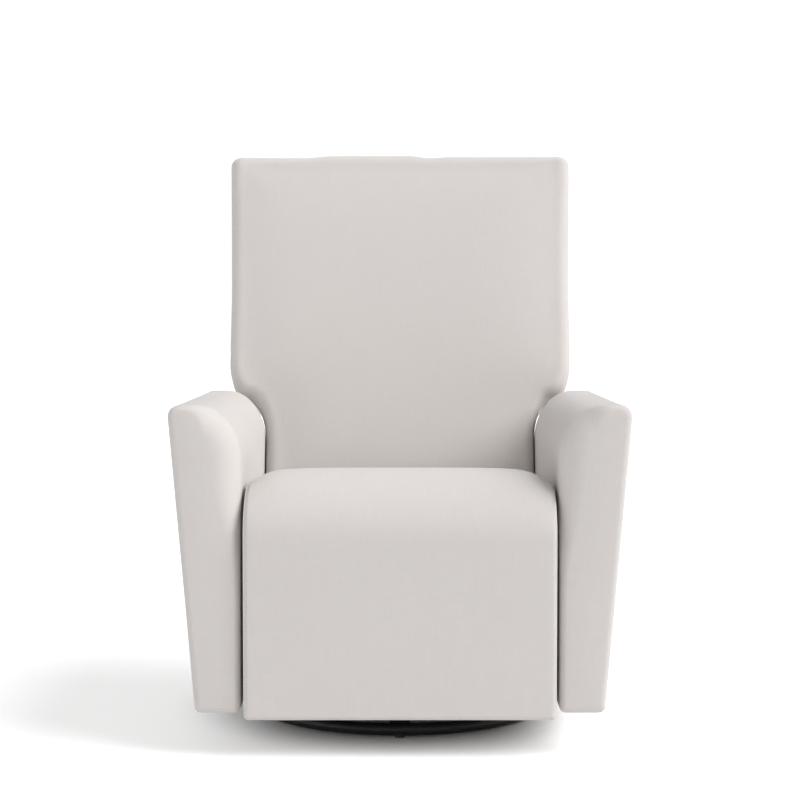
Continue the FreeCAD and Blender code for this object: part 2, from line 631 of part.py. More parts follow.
# ------------------------------------------------------------------------------- back
def back_slab(depths, low):
    """The back's T shape, wide above the arms, between two depths, upright."""
    right = [(BACK_WAIST, low), (BACK_WAIST, BACK_SHOULDER), (BACK_HALF, BACK_SHOULDER), (BACK_HALF, BACK_TOP)]
    outline = right + [(-x, height) for x, height in reversed(right)]
    corners = [Vector(x, RECLINE.y + depths[0], RECLINE.z + height) for x, height in outline]
    shape = Part.Face(Part.makePolygon(corners + corners[:1])).extrude(Vector(0, depths[1] - depths[0], 0))
    for across, height, radius in ((BACK_HALF, BACK_TOP, BACK_TOP_CORNER),
                                   (BACK_HALF, BACK_SHOULDER, BACK_SHOULDER_CORNER),
                                   (BACK_WAIST, BACK_SHOULDER, BACK_WAIST_CORNER)):
        shape = shape.makeFillet(radius, depth_edges(shape, across, RECLINE.z + height))
    return shape


def depth_edges(shape, across, height):
    """The two edges that run along Y at a distance from the middle plane and a height."""
    found = []
    for edge in shape.Edges:
        box = edge.BoundBox
        if box.XLength < TOUCH and abs(abs(box.XMin) - across) < TOUCH and box.ZLength < TOUCH \
                and abs(box.ZMin - height) < TOUCH:
            found.append(edge)
    return found


def back_member(xs, heights, depths=WOOD_DEPTH):
    """One straight member of the back's frame, upright."""
    return block(xs, (RECLINE.y + depths[0], RECLINE.y + depths[1]),
                 (RECLINE.z + heights[0], RECLINE.z + heights[1]))


def back_wood():
    """Stiles, rails and wings of the back's wooden frame."""
    wing_span = (-WING_X[1], WING_X[1])
    stile_span = (-STILE_X[1], STILE_X[1])
    members = [back_member(xs, (FRAME_LOW, FRAME_TOP)) for xs in (STILE_X, pair(STILE_X))]
    members += [back_member(xs, (FRAME_MID[0], FRAME_TOP)) for xs in (WING_X, pair(WING_X))]
    low_rail = FRAME_LOW + BRACKET_CLEAR
    members += [back_member(wing_span, FRAME_MID),
                back_member(wing_span, (FRAME_TOP - FRAME_RAIL, FRAME_TOP)),
                back_member(stile_span, (low_rail, low_rail + FRAME_RAIL))]
    return members[0].fuse(members[1:]).removeSplitter()


def back_springs():
    """Sinuous springs between the back's rails, upright."""
    low, high = FRAME_LOW + BRACKET_CLEAR + FRAME_RAIL, FRAME_MID[0]
    springs = []
    for start, end in ((low, high), (FRAME_MID[1], FRAME_TOP - FRAME_RAIL)):
        for x in BACK_SPRING_X:
            wire = zigzag(x, start + SPRING_WIRE, end, 0)
            wire.rotate(MIDDLE, OUTWARDS, 90)
            wire.translate(Vector(0, RECLINE.y + sum(WOOD_DEPTH) / 2, RECLINE.z))
            springs.append(wire)
    return springs


def back_bracket():
    """The right-hand steel bracket that carries the back, upright."""
    y, z = RECLINE.y, RECLINE.z
    bracket = slab([(y - BRACKET_NECK, z), (y + BRACKET_NECK, z),
                    (y + WOOD_DEPTH[1], z + FRAME_LOW + BRACKET_FOOT),
                    (y + WOOD_DEPTH[1], z + BACK_BRACKET_TOP), (y + WOOD_DEPTH[0], z + BACK_BRACKET_TOP),
                    (y + WOOD_DEPTH[0], z + FRAME_LOW)], BRACKET_X)
    bracket = bracket.fuse(rod(RECLINE, BRACKET_NECK, BRACKET_X)).removeSplitter()
    return bracket.cut(rod(RECLINE, TUBE_OUT, BRACKET_X))


def back_cover(rear, solids):
    """The rear cover, upright, hollow round the frame and open below."""
    cover = back_slab((COVER_START, rear), BACK_LOW)
    lip = block((-BACK_WAIST, BACK_WAIST), (RECLINE.y + LIP_DEPTH, RECLINE.y + rear),
                (RECLINE.z + BACK_LIP, RECLINE.z + BACK_LOW))
    cover = cover.fuse(lip).removeSplitter()
    cover = cover.makeFillet(BACK_ROUND, edges_on(cover, "Y", RECLINE.y + rear))
    depths = (COVER_START, WOOD_DEPTH[1])
    inside = [back_member((-STILE_X[0], STILE_X[0]), (BACK_LOW, FRAME_TOP - FRAME_RAIL), depths)]
    inside += [back_member(xs, (FRAME_MID[0], FRAME_TOP), depths)
               for xs in ((STILE_X[1], WING_X[0]), (-WING_X[0], -STILE_X[1]))]
    for shape in solids + inside:
        cover = cover.cut(shape)
    return cover


def back():
    """The reclining back: cushion, rear cover, frame, springs, brackets and torque tube."""
    lean = radians(LEAN)
    front = (BACK_FRONT_Y - RECLINE.y) * cos(lean) - (SEAT_TOP - RECLINE.z) * sin(lean)
    cushion = back_slab((front, 0.0), BACK_LOW)
    cushion = cushion.makeFillet(BACK_ROUND, edges_on(cushion, "Y", RECLINE.y + front))
    bracket = back_bracket()
    brackets = [bracket, mirrored(bracket)]
    wood = back_wood().cut(brackets[0]).cut(brackets[1])
    save("back_cushion", leaned(cushion))
    save("back_cover", leaned(back_cover(front + BACK_THICK, [wood] + brackets)))
    save("back_frame", leaned(wood))
    save("back_springs", *[leaned(wire) for wire in back_springs()])
    save("back_bracket_right", leaned(brackets[0]))
    save("back_bracket_left", leaned(brackets[1]))
    tube = rod(RECLINE, TUBE_OUT, (-BRACKET_X[1], BRACKET_X[1]))
    tube = tube.fuse(crank(RECLINE, RECLINE + crank_arm(BACK_CRANK, BACK_CRANK_START), BACK_ACTUATOR_X))
    save("back_torque_tube", tube.removeSplitter().cut(rod(RECLINE, TUBE_IN, (-WIDTH, WIDTH))))


def rear_panel():
    """The upholstered board across the rear, and the power inlet in it."""
    half = ARM_INSIDE - REAR_PANEL_GAP
    spot = Vector(INLET_X, REAR_PANEL_Y[0], INLET_Z)
    along = Vector(0, 1, 0)
    thick = REAR_PANEL_Y[1] - REAR_PANEL_Y[0]
    panel = block((-half, half), REAR_PANEL_Y, REAR_PANEL_Z)
    panel = panel.cut(Part.makeCylinder(INLET_RADIUS, thick, spot, along))
    save("rear_panel", panel)
    inlet = Part.makeCylinder(INLET_RADIUS, thick, spot, along)
    inlet = inlet.fuse(Part.makeCylinder(INLET_FLANGE, INLET_LIP, spot + along * thick, along)).removeSplitter()
    mouth = thick + INLET_LIP
    socket = Part.makeCylinder(SOCKET_RADIUS, SOCKET_DEEP, spot + along * (mouth - SOCKET_DEEP), along)
    save("power_inlet", inlet.cut(socket))


os.makedirs("parts", exist_ok=True)
floor_ring()
glide_platform()
glide_links()
mechanism_plates()
seat_frame()
arms()
buttons()
seat_cushion()
leg_rest()
leg_linkage()
actuators()
back()
rear_panel()
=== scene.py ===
"""Looks of a swivel-glider recliner chair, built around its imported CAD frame.

Metres. +X is the viewer's right, -Y is the front, +Z is up. Soft parts are surfaces
worked out with numpy, relaxed by a short cloth simulation, and carried by the CAD bodies.
"""
import json
import logging
import math
from dataclasses import dataclass
from enum import Enum
from typing import Callable, Sequence

import bmesh
import bpy
import numpy as np
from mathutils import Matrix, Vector
from mathutils.geometry import delaunay_2d_cdt


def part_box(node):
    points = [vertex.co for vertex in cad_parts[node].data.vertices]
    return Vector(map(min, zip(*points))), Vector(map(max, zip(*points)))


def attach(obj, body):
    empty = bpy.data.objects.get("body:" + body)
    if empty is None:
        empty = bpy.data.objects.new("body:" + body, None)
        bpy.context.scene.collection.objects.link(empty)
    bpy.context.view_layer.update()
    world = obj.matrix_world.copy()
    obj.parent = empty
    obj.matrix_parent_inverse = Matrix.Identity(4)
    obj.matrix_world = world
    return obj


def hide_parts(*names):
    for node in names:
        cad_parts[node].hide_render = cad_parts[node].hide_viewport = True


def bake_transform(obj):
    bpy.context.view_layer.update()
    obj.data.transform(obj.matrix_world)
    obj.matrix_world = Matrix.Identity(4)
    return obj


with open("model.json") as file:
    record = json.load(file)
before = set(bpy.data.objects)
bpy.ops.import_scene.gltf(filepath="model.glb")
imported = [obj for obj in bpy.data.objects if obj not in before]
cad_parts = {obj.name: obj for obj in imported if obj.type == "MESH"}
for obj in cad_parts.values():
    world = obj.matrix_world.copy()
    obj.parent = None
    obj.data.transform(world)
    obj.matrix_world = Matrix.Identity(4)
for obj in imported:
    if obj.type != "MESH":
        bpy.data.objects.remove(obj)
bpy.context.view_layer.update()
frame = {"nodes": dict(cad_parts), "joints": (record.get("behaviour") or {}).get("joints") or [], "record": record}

Array = np.ndarray
log = logging.getLogger("glider_chair")
UV_NAME = "UVMap"
SNAP = 1e-5              # places nearer than this are one place
CHUNK = 2000             # points measured against a line at once
SOFTENING = 0.6          # of a line's step, the length that keeps a mean distance finite
ARC_POINTS = 24
THREAD_RISE = 0.6        # of its radius, how far a stitch's thread stands off the cloth


# ============================================================================ meshes
@dataclass
class Surface:
    """A mesh as arrays: points, quads, and one UV pair per quad corner, in metres."""

    points: Array
    quads: Array
    uvs: Array

    def merged(self, tolerance: float = SNAP) -> "Surface":
        """Join points that share a place and drop quads that have collapsed to a line.

        Args:
            tolerance: the grid that places are rounded to.

        Returns:
            The same surface with shared points.
        """
        keys = np.round(self.points / tolerance).astype(np.int64)
        _, first, back = np.unique(keys, axis=0, return_index=True, return_inverse=True)
        quads = back.reshape(-1)[self.quads]
        same = quads == np.roll(quads, -1, axis=1)
        start = np.where(same.any(1), (np.argmax(same, axis=1) + 2) % 4, 0)
        order = (np.arange(4)[None] + start[:, None]) % 4
        quads = np.take_along_axis(quads, order, 1)
        uvs = np.take_along_axis(self.uvs, order[:, :, None], 1)
        keep = same.sum(1) < 2
        return Surface(self.points[first], quads[keep], uvs[keep])

    def moved(self, change: Callable[[Array], Array]) -> "Surface":
        """Apply a function to all the points."""
        return Surface(change(self.points), self.quads, self.uvs)

    def piece(self, name: str, smooth: bool = True) -> bpy.types.Object:
        """Put the surface into a Blender object at the origin.

        Args:
            name: the piece's name.
            smooth: whether its faces are shaded smooth.

        Returns:
            The new object, linked into the scene.
        """
        is_triangle = self.quads[:, 2] == self.quads[:, 3]
        used = np.ones(self.quads.shape, bool)
        used[is_triangle, 3] = False
        totals = used.sum(1)
        mesh = bpy.data.meshes.new(name)
        mesh.vertices.add(len(self.points))
        mesh.loops.add(int(totals.sum()))
        mesh.polygons.add(len(self.quads))
        mesh.vertices.foreach_set("co", self.points.astype(np.float32).ravel())
        mesh.polygons.foreach_set("loop_start", (np.cumsum(totals) - totals).astype(np.int32))
        mesh.polygons.foreach_set("vertices", self.quads[used].astype(np.int32))
        mesh.update(calc_edges=True)
        layer = mesh.uv_layers.new(name=UV_NAME)
        layer.data.foreach_set("uv", self.uvs[used].astype(np.float32).ravel())
        mesh.polygons.foreach_set("use_smooth", np.full(len(self.quads), smooth))
        if mesh.validate():
            log.warning("%s had faults in its mesh", name)
        mesh.update()
        made = bpy.data.objects.new(name, mesh)
        bpy.context.scene.collection.objects.link(made)
        return made


def grid_quads(rows: int, columns: int, wrap: bool) -> Array:
    """Quads of a grid of points numbered row by row.

    Args:
        rows: how many rows of points.
        columns: how many points in a row.
        wrap: whether the last column joins the first.

    Returns:
        An array of four point numbers per quad.
    """
    across = columns if wrap else columns - 1
    r, c = np.meshgrid(np.arange(rows - 1), np.arange(across), indexing="ij")
    nxt = (c + 1) % columns
    here, above = r * columns, (r + 1) * columns
    return np.stack([here + c, here + nxt, above + nxt, above + c], -1).reshape(-1, 4)


def joined(parts: Sequence[Surface]) -> Surface:
    """Several surfaces as one, with their point numbers shifted."""
    offsets = np.cumsum([0] + [len(part.points) for part in parts[:-1]])
    return Surface(np.concatenate([part.points for part in parts]),
                   np.concatenate([part.quads + shift for part, shift in zip(parts, offsets)]),
                   np.concatenate([part.uvs for part in parts]))


def stations(half: float, radius: float, cell: float, steps: int) -> Array:
    """Places along one edge of a box whose corners will be rounded.

    The middle stretch has even cells, and each end stretch has places at the tangents of
    even angles, so that a quarter turn is cut evenly.

    Args:
        half: half the edge's length.
        radius: the corner's radius.
        cell: the cell size of the middle stretch.
        steps: the cells of an eighth of a turn.

    Returns:
        The places, from -half to half.
    """
    flat = half - radius
    middle = np.linspace(-flat, flat, max(2, int(round(2 * flat / cell)) + 1))
    turn = flat + radius * np.tan(np.linspace(0, math.pi / 4, steps + 1)[1:])
    return np.concatenate([-turn[::-1], middle, turn])


def rounded_box(half: Sequence[float], radius: float, cell: float, steps: int = 5) -> Surface:
    """A box with rounded edges, on a grid over its six faces.

    Each point of the sharp box is drawn to the nearest point of an inner box, smaller by the
    radius, and then pushed out from it by the radius.

    Args:
        half: half sizes along the three axes.
        radius: the edge radius.
        cell: the cell size of the flat stretches.
        steps: cells in an eighth of a turn of an edge.

    Returns:
        A closed surface whose UVs are the two axes of each face.
    """
    lines = [stations(size, radius, cell, steps) for size in half]
    parts = []
    for axis in range(3):
        one, two = (axis + 1) % 3, (axis + 2) % 3
        a, b = np.meshgrid(lines[one], lines[two], indexing="ij")
        for side in (-1.0, 1.0):
            points = np.zeros((a.size, 3))
            points[:, one], points[:, two], points[:, axis] = a.ravel(), b.ravel(), side * half[axis]
            quads = grid_quads(len(lines[one]), len(lines[two]), False)
            if side > 0:
                quads = quads[:, ::-1]
            order = (b, a) if axis == 0 else (a, b)
            pair = np.stack([values.ravel() for values in order], -1)
            parts.append(Surface(points, quads, pair[quads]))
    whole = joined(parts).merged()
    inner = np.array(half) - radius
    core = np.clip(whole.points, -inner, inner)
    out = whole.points - core
    out /= np.linalg.norm(out, axis=1, keepdims=True)
    return outward(Surface(core + out * radius, whole.quads, whole.uvs))


TURNED = [1, 0, 3, 2]        # a face's corners the other way round, a triangle's last two still alike


def outward(surface: Surface) -> Surface:
    """Turn a closed surface's faces outwards if its signed volume is negative.

    The signed volume is a sixth of the sum, over the triangles, of the triple product of
    their corners.
    """
    p, q = surface.points, surface.quads
    volume = 0.0
    for tri in (q[:, [0, 1, 2]], q[:, [0, 2, 3]]):
        volume += float(np.einsum("ij,ij->i", p[tri[:, 0]], np.cross(p[tri[:, 1]], p[tri[:, 2]])).sum())
    if volume < 0:
        return Surface(p, q[:, TURNED], surface.uvs[:, TURNED])
    return surface


def tube(path: Array, radius: float, sides: int = 6, closed: bool = False) -> Surface:
    """A round cord swept along a line of points.

    Each ring lies across the local direction, on two axes made by crossing it with a fixed
    reference and then with the result.

    Args:
        path: the points of the line.
        radius: the cord's radius.
        sides: the points of one ring.
        closed: whether the line ends where it starts.

    Returns:
        The tube, with its ends drawn to a point when it is open.
    """
    ahead = np.roll(path, -1, 0) - np.roll(path, 1, 0)
    if not closed:
        ahead[0], ahead[-1] = path[1] - path[0], path[-1] - path[-2]
    ahead /= np.linalg.norm(ahead, axis=1, keepdims=True)
    spread = np.ptp(path, axis=0)
    reference = np.eye(3)[int(np.argmin(spread))]
    one = np.cross(ahead, reference)
    one /= np.linalg.norm(one, axis=1, keepdims=True)
    two = np.cross(ahead, one)
    turn = np.linspace(0, 2 * math.pi, sides, endpoint=False)
    sizes = np.full(len(path), radius)
    if not closed:
        sizes[0] = sizes[-1] = 0.0
    ring = one[:, None] * np.cos(turn)[None, :, None] + two[:, None] * np.sin(turn)[None, :, None]
    points = path[:, None] + ring * sizes[:, None, None]
    rows = len(path)
    if closed:
        points = np.concatenate([points, points[:1]])
        rows += 1
    quads = grid_quads(rows, sides, True)
    uvs = np.zeros((len(quads), 4, 2))
    return outward(Surface(points.reshape(-1, 3), quads, uvs).merged(1e-6))


def stitches(path: Array, pitch: float, length: float, radius: float, lift: Array) -> Surface:
    """A row of short threads along a line, each a slim spindle of eight faces.

    Args:
        path: the line that they follow.
        pitch: the distance from one thread to the next.
        length: a thread's length.
        radius: a thread's radius.
        lift: the direction away from the cloth, one per point of the line.

    Returns:
        All the threads as one surface.
    """
    along = travelled(path)
    centres = np.arange(pitch / 2, along[-1], pitch)

    def at(distance: Array, values: Array) -> Array:
        """Values of the line at some distances along it."""
        return np.stack([np.interp(distance, along, values[:, axis]) for axis in range(3)], -1)

    middle, start, end = (at(centres + shift, path) for shift in (0.0, -length / 2, length / 2))
    up = at(centres, lift)
    side = np.cross(end - start, up)
    side /= np.linalg.norm(side, axis=1, keepdims=True)
    raised = middle + up * radius * THREAD_RISE
    belt = np.stack([raised + way * radius for way in (up, side, -up, -side)], 1)
    count = len(centres)
    points = np.concatenate([start[:, None], belt, end[:, None]], 1).reshape(-1, 3)
    base = np.arange(count)[:, None, None] * 6
    fans = np.array([[0, 1, 2, 2], [0, 2, 3, 3], [0, 3, 4, 4], [0, 4, 1, 1],
                     [5, 2, 1, 1], [5, 3, 2, 2], [5, 4, 3, 3], [5, 1, 4, 4]])
    quads = (base + fans[None]).reshape(-1, 4)
    return outward(Surface(points, quads, np.zeros((len(quads), 4, 2))))


def smooth_step(value: Array) -> Array:
    """Zero up to 0, one from 1, and three squares less two cubes between."""
    t = np.clip(value, 0.0, 1.0)
    return t * t * (3 - 2 * t)


# ================================================================== pads on an outline
@dataclass
class OutlinePad:
    """A pad with a closed outline, rounded rims and crowned faces.

    Its walls and rims are a grid that wraps round the outline. Its faces are triangles over
    a lattice of points, so that the cloth is as even in one direction as in another. The way
    in from the outline is averaged over the blur, and the mitre bounds how far that
    stretches a corner. Lattice points keep their clearance, in cells, from the rim.
    """

    outline: Array
    depth: float
    front_rim: Array
    rear_rim: Array
    front_crown: float
    rear_crown: float
    cell: float = 0.010
    rim_rows: int = 7
    reach: float = 0.06
    fall: float = 1.5
    blur: float = 0.018
    mitre: float = 0.55
    clearance: float = 0.62

    def __post_init__(self) -> None:
        """Order the outline clockwise and work out the way in from each of its points."""
        if signed_area(self.outline) > 0:
            self.outline, self.front_rim, self.rear_rim = (
                values[::-1] for values in (self.outline, self.front_rim, self.rear_rim))
        self.normal = inward_normals(self.outline)
        spread = max(1, int(self.blur / self.cell))
        way = self.normal.copy()
        for _ in range(3 * spread):
            way = (np.roll(way, 1, 0) + way + np.roll(way, -1, 0)) / 3
        facing = np.einsum("ij,ij->i", way, self.normal)
        self.way = way / np.maximum(facing, self.mitre)[:, None]

    def surface(self) -> Surface:
        """Work out the whole pad.

        Returns:
            A closed surface in the outline's plane, with depth along the third axis.
        """
        turns = np.linspace(0, math.pi / 2, self.rim_rows + 1)
        front = [self.ring(self.front_rim, turn, 0.0, 1.0) for turn in turns]
        rear = [self.ring(self.rear_rim, turn, self.depth, -1.0) for turn in turns[::-1]]
        flat = self.depth - self.front_rim.mean() - self.rear_rim.mean()
        shares = np.linspace(0, 1, max(2, int(flat / self.cell)) + 1)[1:-1]
        wall = [front[-1] + (rear[0] - front[-1]) * share for share in shares]
        rows = front + wall + rear
        points, across = np.concatenate(rows), len(self.outline)
        quads = grid_quads(len(rows), across, True)
        parts = [Surface(points, quads, self.band_uvs(points, quads, turns, len(rows)))]
        parts.append(self.face(front[0], -self.front_crown))
        behind = self.face(rear[-1], self.rear_crown)
        parts.append(Surface(behind.points, behind.quads[:, TURNED], behind.uvs[:, TURNED]))
        return outward(joined(parts).merged(2 * SNAP))

    def ring(self, rim: Array, turn: float, start: float, sign: float) -> Array:
        """One row of the rim: drawn in by what is left of the rim, at its depth."""
        flat = self.outline + self.way * (rim * (1 - math.sin(turn)))[:, None]
        return np.column_stack([flat, start + sign * rim * (1 - math.cos(turn))])

    def band_uvs(self, points: Array, quads: Array, turns: Array, rows: int) -> Array:
        """UVs of the rims and the wall.

        A rim is rolled out in the face's plane by its arc length, and the wall is measured
        along the outline and along the depth.
        """
        across = len(self.outline)
        arc = travelled(self.outline)
        row, column = quads // across, quads % across
        wraps = (column == 0) & (column.max(1, keepdims=True) == across - 1)
        lengths = arc[column] + wraps * (arc[-1] + arc[1])
        wall = np.stack([lengths, points[quads][:, :, 2]], -1)
        last = len(turns) - 1
        band = row.min(1)
        rolled = np.zeros((rows, across, 2))
        counted = np.arange(last + 1)
        for rim, order in ((self.front_rim, counted), (self.rear_rim, rows - 1 - counted)):
            out = turns[:, None, None] * rim[None, :, None] * -self.normal[None]
            rolled[order] = (self.outline + self.way * rim[:, None])[None] + out
        flat = rolled.reshape(-1, 2)[quads]
        on_rim = (band < last) | (band >= rows - 1 - last)
        return np.where(on_rim[:, None, None], flat, wall)

    def face(self, ring: Array, crown: float) -> Surface:
        """A face inside a ring, as triangles over a lattice, lifted by a crown.

        The lift is the crown times one less the exponential of minus a power, the fall, of
        the distance from the ring over the reach. The distance is the smooth one: pi over the
        integral, round the ring, of one over the squared distance.
        """
        edge, step = ring[:, :2], self.cell
        low, high = edge.min(0), edge.max(0)
        rows = np.arange(low[1], high[1], step * math.sqrt(0.75))
        columns = np.arange(low[0], high[0], step)
        x, z = np.meshgrid(columns, rows)
        x = x + (np.arange(len(rows)) % 2)[:, None] * step / 2
        spots = np.column_stack([x.ravel(), z.ravel()])
        spots = spots[inside(spots, edge)]
        spots = spots[near_points(spots, edge)[0] > self.clearance * step]
        flat = np.concatenate([edge, spots])
        loop = [(i, (i + 1) % len(edge)) for i in range(len(edge))]
        inside_only, epsilon = 1, 1e-7
        places, _, faces, _, _, _ = delaunay_2d_cdt(
            [Vector(spot) for spot in flat], loop, [], inside_only, epsilon)
        places = np.array([tuple(place) for place in places])
        gaps, nearest = near_points(places, edge)
        places = np.where(gaps[:, None] < SNAP, edge[nearest], places)
        quads = np.array([(a, b, c, c) for a, b, c in faces])
        rise = 1 - np.exp(-(ring_distance(places, edge) / self.reach) ** self.fall)
        lift = crown * rise * (gaps > SNAP)
        points = np.column_stack([places, ring[0, 2] + lift])
        return Surface(points, quads, places[quads])


def inside(spots: Array, edge: Array) -> Array:
    """Which points lie inside a closed line, by counting crossings of a ray."""
    start, end = edge, np.roll(edge, -1, 0)
    x, z = spots[:, :1], spots[:, 1:]
    crosses = (start[:, 1] > z) != (end[:, 1] > z)
    rise = np.where(end[:, 1] == start[:, 1], 1.0, end[:, 1] - start[:, 1])
    where = start[:, 0] + (z - start[:, 1]) * (end[:, 0] - start[:, 0]) / rise
    return (crosses & (x < where)).sum(1) % 2 == 1


def portions(spots: Array) -> list[Array]:
    """The points in portions small enough to be measured against a whole line."""
    return np.array_split(spots, 1 + len(spots) // CHUNK)


def near_points(spots: Array, edge: Array) -> tuple[Array, Array]:
    """Each point's distance to the nearest point of a line, and that point's number."""
    gaps = [np.linalg.norm(some[:, None] - edge[None], axis=2) for some in portions(spots)]
    return np.concatenate([gap.min(1) for gap in gaps]), np.concatenate([gap.argmin(1) for gap in gaps])


def ring_distance(spots: Array, edge: Array) -> Array:
    """The smooth distance from a closed line: pi over the integral of one over its square.

    The square of a small length, a share of the line's step, is added to each squared
    distance and taken off the squared result, so that it stays finite on the line.
    """
    steps = np.linalg.norm(np.roll(edge, -1, 0) - np.roll(edge, 1, 0), axis=1) / 2
    small = float(steps.mean()) * SOFTENING
    sums = np.concatenate([(steps / (((some[:, None] - edge[None]) ** 2).sum(2) + small ** 2)).sum(1)
                           for some in portions(spots)])
    return np.sqrt(np.maximum((math.pi / sums) ** 2 - small ** 2, 0.0))


def inward_normals(outline: Array) -> Array:
    """Unit normals of a closed outline that point to its inside.

    The tangent is the difference of the two neighbours, turned by a quarter and signed by
    the outline's signed area.
    """
    along = np.roll(outline, -1, 0) - np.roll(outline, 1, 0)
    along /= np.linalg.norm(along, axis=1, keepdims=True)
    turned = np.column_stack([-along[:, 1], along[:, 0]])
    return turned if signed_area(outline) > 0 else -turned


def signed_area(outline: Array) -> float:
    """The area in a closed line, above zero if the line runs anticlockwise."""
    x, y = outline.T
    return float((x * np.roll(y, -1) - np.roll(x, -1) * y).sum()) / 2


def arc(centre: Sequence[float], radii: Sequence[float], start: float, end: float) -> Array:
    """Points on part of an ellipse.

    Args:
        centre: its centre.
        radii: its two half sizes.
        start: the angle that it starts at, in degrees.
        end: the angle that it ends at.

    Returns:
        The points.
    """
    turn = np.radians(np.linspace(start, end, ARC_POINTS))
    return np.column_stack([centre[0] + radii[0] * np.cos(turn), centre[1] + radii[1] * np.sin(turn)])


def bezier(poles: Array) -> Array:
    """Points on a cubic curve with four poles."""
    t = np.linspace(0, 1, ARC_POINTS)[:, None]
    return (1 - t) ** 3 * poles[0] + 3 * t * (1 - t) ** 2 * poles[1] + 3 * t * t * (1 - t) * poles[2] \
        + t ** 3 * poles[3]


def travelled(line: Array) -> Array:
    """The distance along a line at each of its points."""
    return np.concatenate([[0.0], np.cumsum(np.linalg.norm(np.diff(line, axis=0), axis=1))])


def even_steps(line: Array, cell: float) -> Array:
    """A closed line as points at even steps along it."""
    ring = np.concatenate([line, line[:1]])
    along = travelled(ring)
    count = int(round(along[-1] / cell))
    places = np.arange(count) * along[-1] / count
    return np.column_stack([np.interp(places, along, ring[:, axis]) for axis in range(2)])


# ================================================================== cloth relaxation
CLOTH = {"use_pressure": True, "quality": 4, "mass": 0.3, "tension_stiffness": 25,
         "compression_stiffness": 25, "shear_stiffness": 12, "bending_stiffness": 2.0}


@dataclass(frozen=True)
class Stuffing:
    """How a pad's cover is blown up: most travel, share kept on each axis, and pressure."""

    cap: float
    keep: Sequence[float]
    pressure: float = 4.0
    frames: int = 20

    def relax(self, piece: bpy.types.Object) -> None:
        """Run the cloth over the piece and keep a capped share of how far it moved.

        A point moves by its travel, less the mean of all travels, times the cap over the
        travel's length where that is under one.

        Args:
            piece: the pad, a closed mesh.
        """
        rest = points_of(piece)
        cloth = piece.modifiers.new("Cover", "CLOTH")
        for key, value in CLOTH.items():
            setattr(cloth.settings, key, value)
        cloth.settings.uniform_pressure_force = self.pressure
        cloth.settings.effector_weights.gravity = 0
        cloth.point_cache.frame_start = 1
        cloth.point_cache.frame_end = self.frames
        scene = bpy.context.scene
        for number in range(1, self.frames + 1):
            scene.frame_set(number)
        shaped = piece.evaluated_get(bpy.context.evaluated_depsgraph_get())
        travel = points_of(shaped) - rest
        piece.modifiers.remove(cloth)
        scene.frame_set(1)
        travel -= travel.mean(0)
        length = np.linalg.norm(travel, axis=1, keepdims=True)
        travel *= np.minimum(1.0, self.cap / np.maximum(length, 1e-9)) * np.array(self.keep)
        put_points(piece, rest + travel)
        log.info("%s relaxed, mean travel %.1f mm", piece.name, 1000 * float(np.abs(travel).sum(1).mean()))


def points_of(piece: bpy.types.Object, what: str = "co") -> Array:
    """The piece's points, or their normals, as an array.

    Args:
        piece: the piece to read.
        what: "co" for the points, "normal" for their normals.

    Returns:
        One row per point.
    """
    flat = np.zeros(len(piece.data.vertices) * 3, np.float32)
    piece.data.vertices.foreach_get(what, flat)
    return flat.reshape(-1, 3).astype(float)


def put_points(piece: bpy.types.Object, points: Array) -> None:
    """Set the piece's points from an array."""
    piece.data.vertices.foreach_set("co", points.astype(np.float32).ravel())
    piece.data.update()


# ========================================================================== materials
Link = bpy.types.NodeSocket


@dataclass
class NodeBook:
    """Short ways to add nodes to one tree."""

    tree: bpy.types.NodeTree

    def add(self, kind: str, inputs: dict | None = None, **values: object) -> bpy.types.Node:
        """Add a node, set its properties by name and feed its inputs."""
        node = self.tree.nodes.new(kind)
        for key, value in values.items():
            setattr(node, key, value)
        self.feed(node, inputs or {})
        return node

    def feed(self, node: bpy.types.Node, inputs: dict) -> None:
        """Link a socket, or set a constant, on each input of a node that is given."""
        for key, value in inputs.items():
            if isinstance(value, bpy.types.NodeSocket):
                self.tree.links.new(value, node.inputs[key])
            else:
                node.inputs[key].default_value = value

    def math(self, operation: str, *values: object) -> Link:
        """The result of a Math node."""
        return self.add("ShaderNodeMath", dict(enumerate(values)), operation=operation).outputs[0]

    def blend(self, share: object, one: Sequence[float], two: Sequence[float]) -> Link:
        """A colour between two, by a share."""
        colours = {0: share, 6: (*one, 1), 7: (*two, 1)}
        return self.add("ShaderNodeMix", colours, data_type="RGBA").outputs[2]

    def noise(self, vector: Link, scale: object, detail: float = 2.0) -> Link:
        """The value of a noise texture."""
        return self.add("ShaderNodeTexNoise", {"Vector": vector, "Scale": scale, "Detail": detail}).outputs["Fac"]

    def stretched(self, vector: Link, scale: Sequence[float]) -> Link:
        """A vector scaled on each axis."""
        return self.add("ShaderNodeMapping", {"Vector": vector, "Scale": scale}).outputs["Vector"]


def group(name: str, inputs: Sequence[tuple], outputs: Sequence[str]) -> NodeBook:
    """Start a shader node group with named sockets.

    Args:
        name: the group's name.
        inputs: (name, socket type, default) of each input.
        outputs: the name of each output, all of them numbers.

    Returns:
        A book of the group's nodes.
    """
    tree = bpy.data.node_groups.new(name, "ShaderNodeTree")
    for label, kind, default in inputs:
        socket = tree.interface.new_socket(label, in_out="INPUT", socket_type=kind)
        if default is not None:
            socket.default_value = default
    for label in outputs:
        tree.interface.new_socket(label, in_out="OUTPUT", socket_type="NodeSocketFloat")
    return NodeBook(tree)


THREAD_PITCH = 0.0016
SLUB_SCALES = ((700.0, 25.0, 1.0), (25.0, 700.0, 1.0))      # fine across a thread, long along it
SHADE_SCALE = 6.0
WEAVE_DETAIL = 3.0
GRIME_DETAIL = 4.0


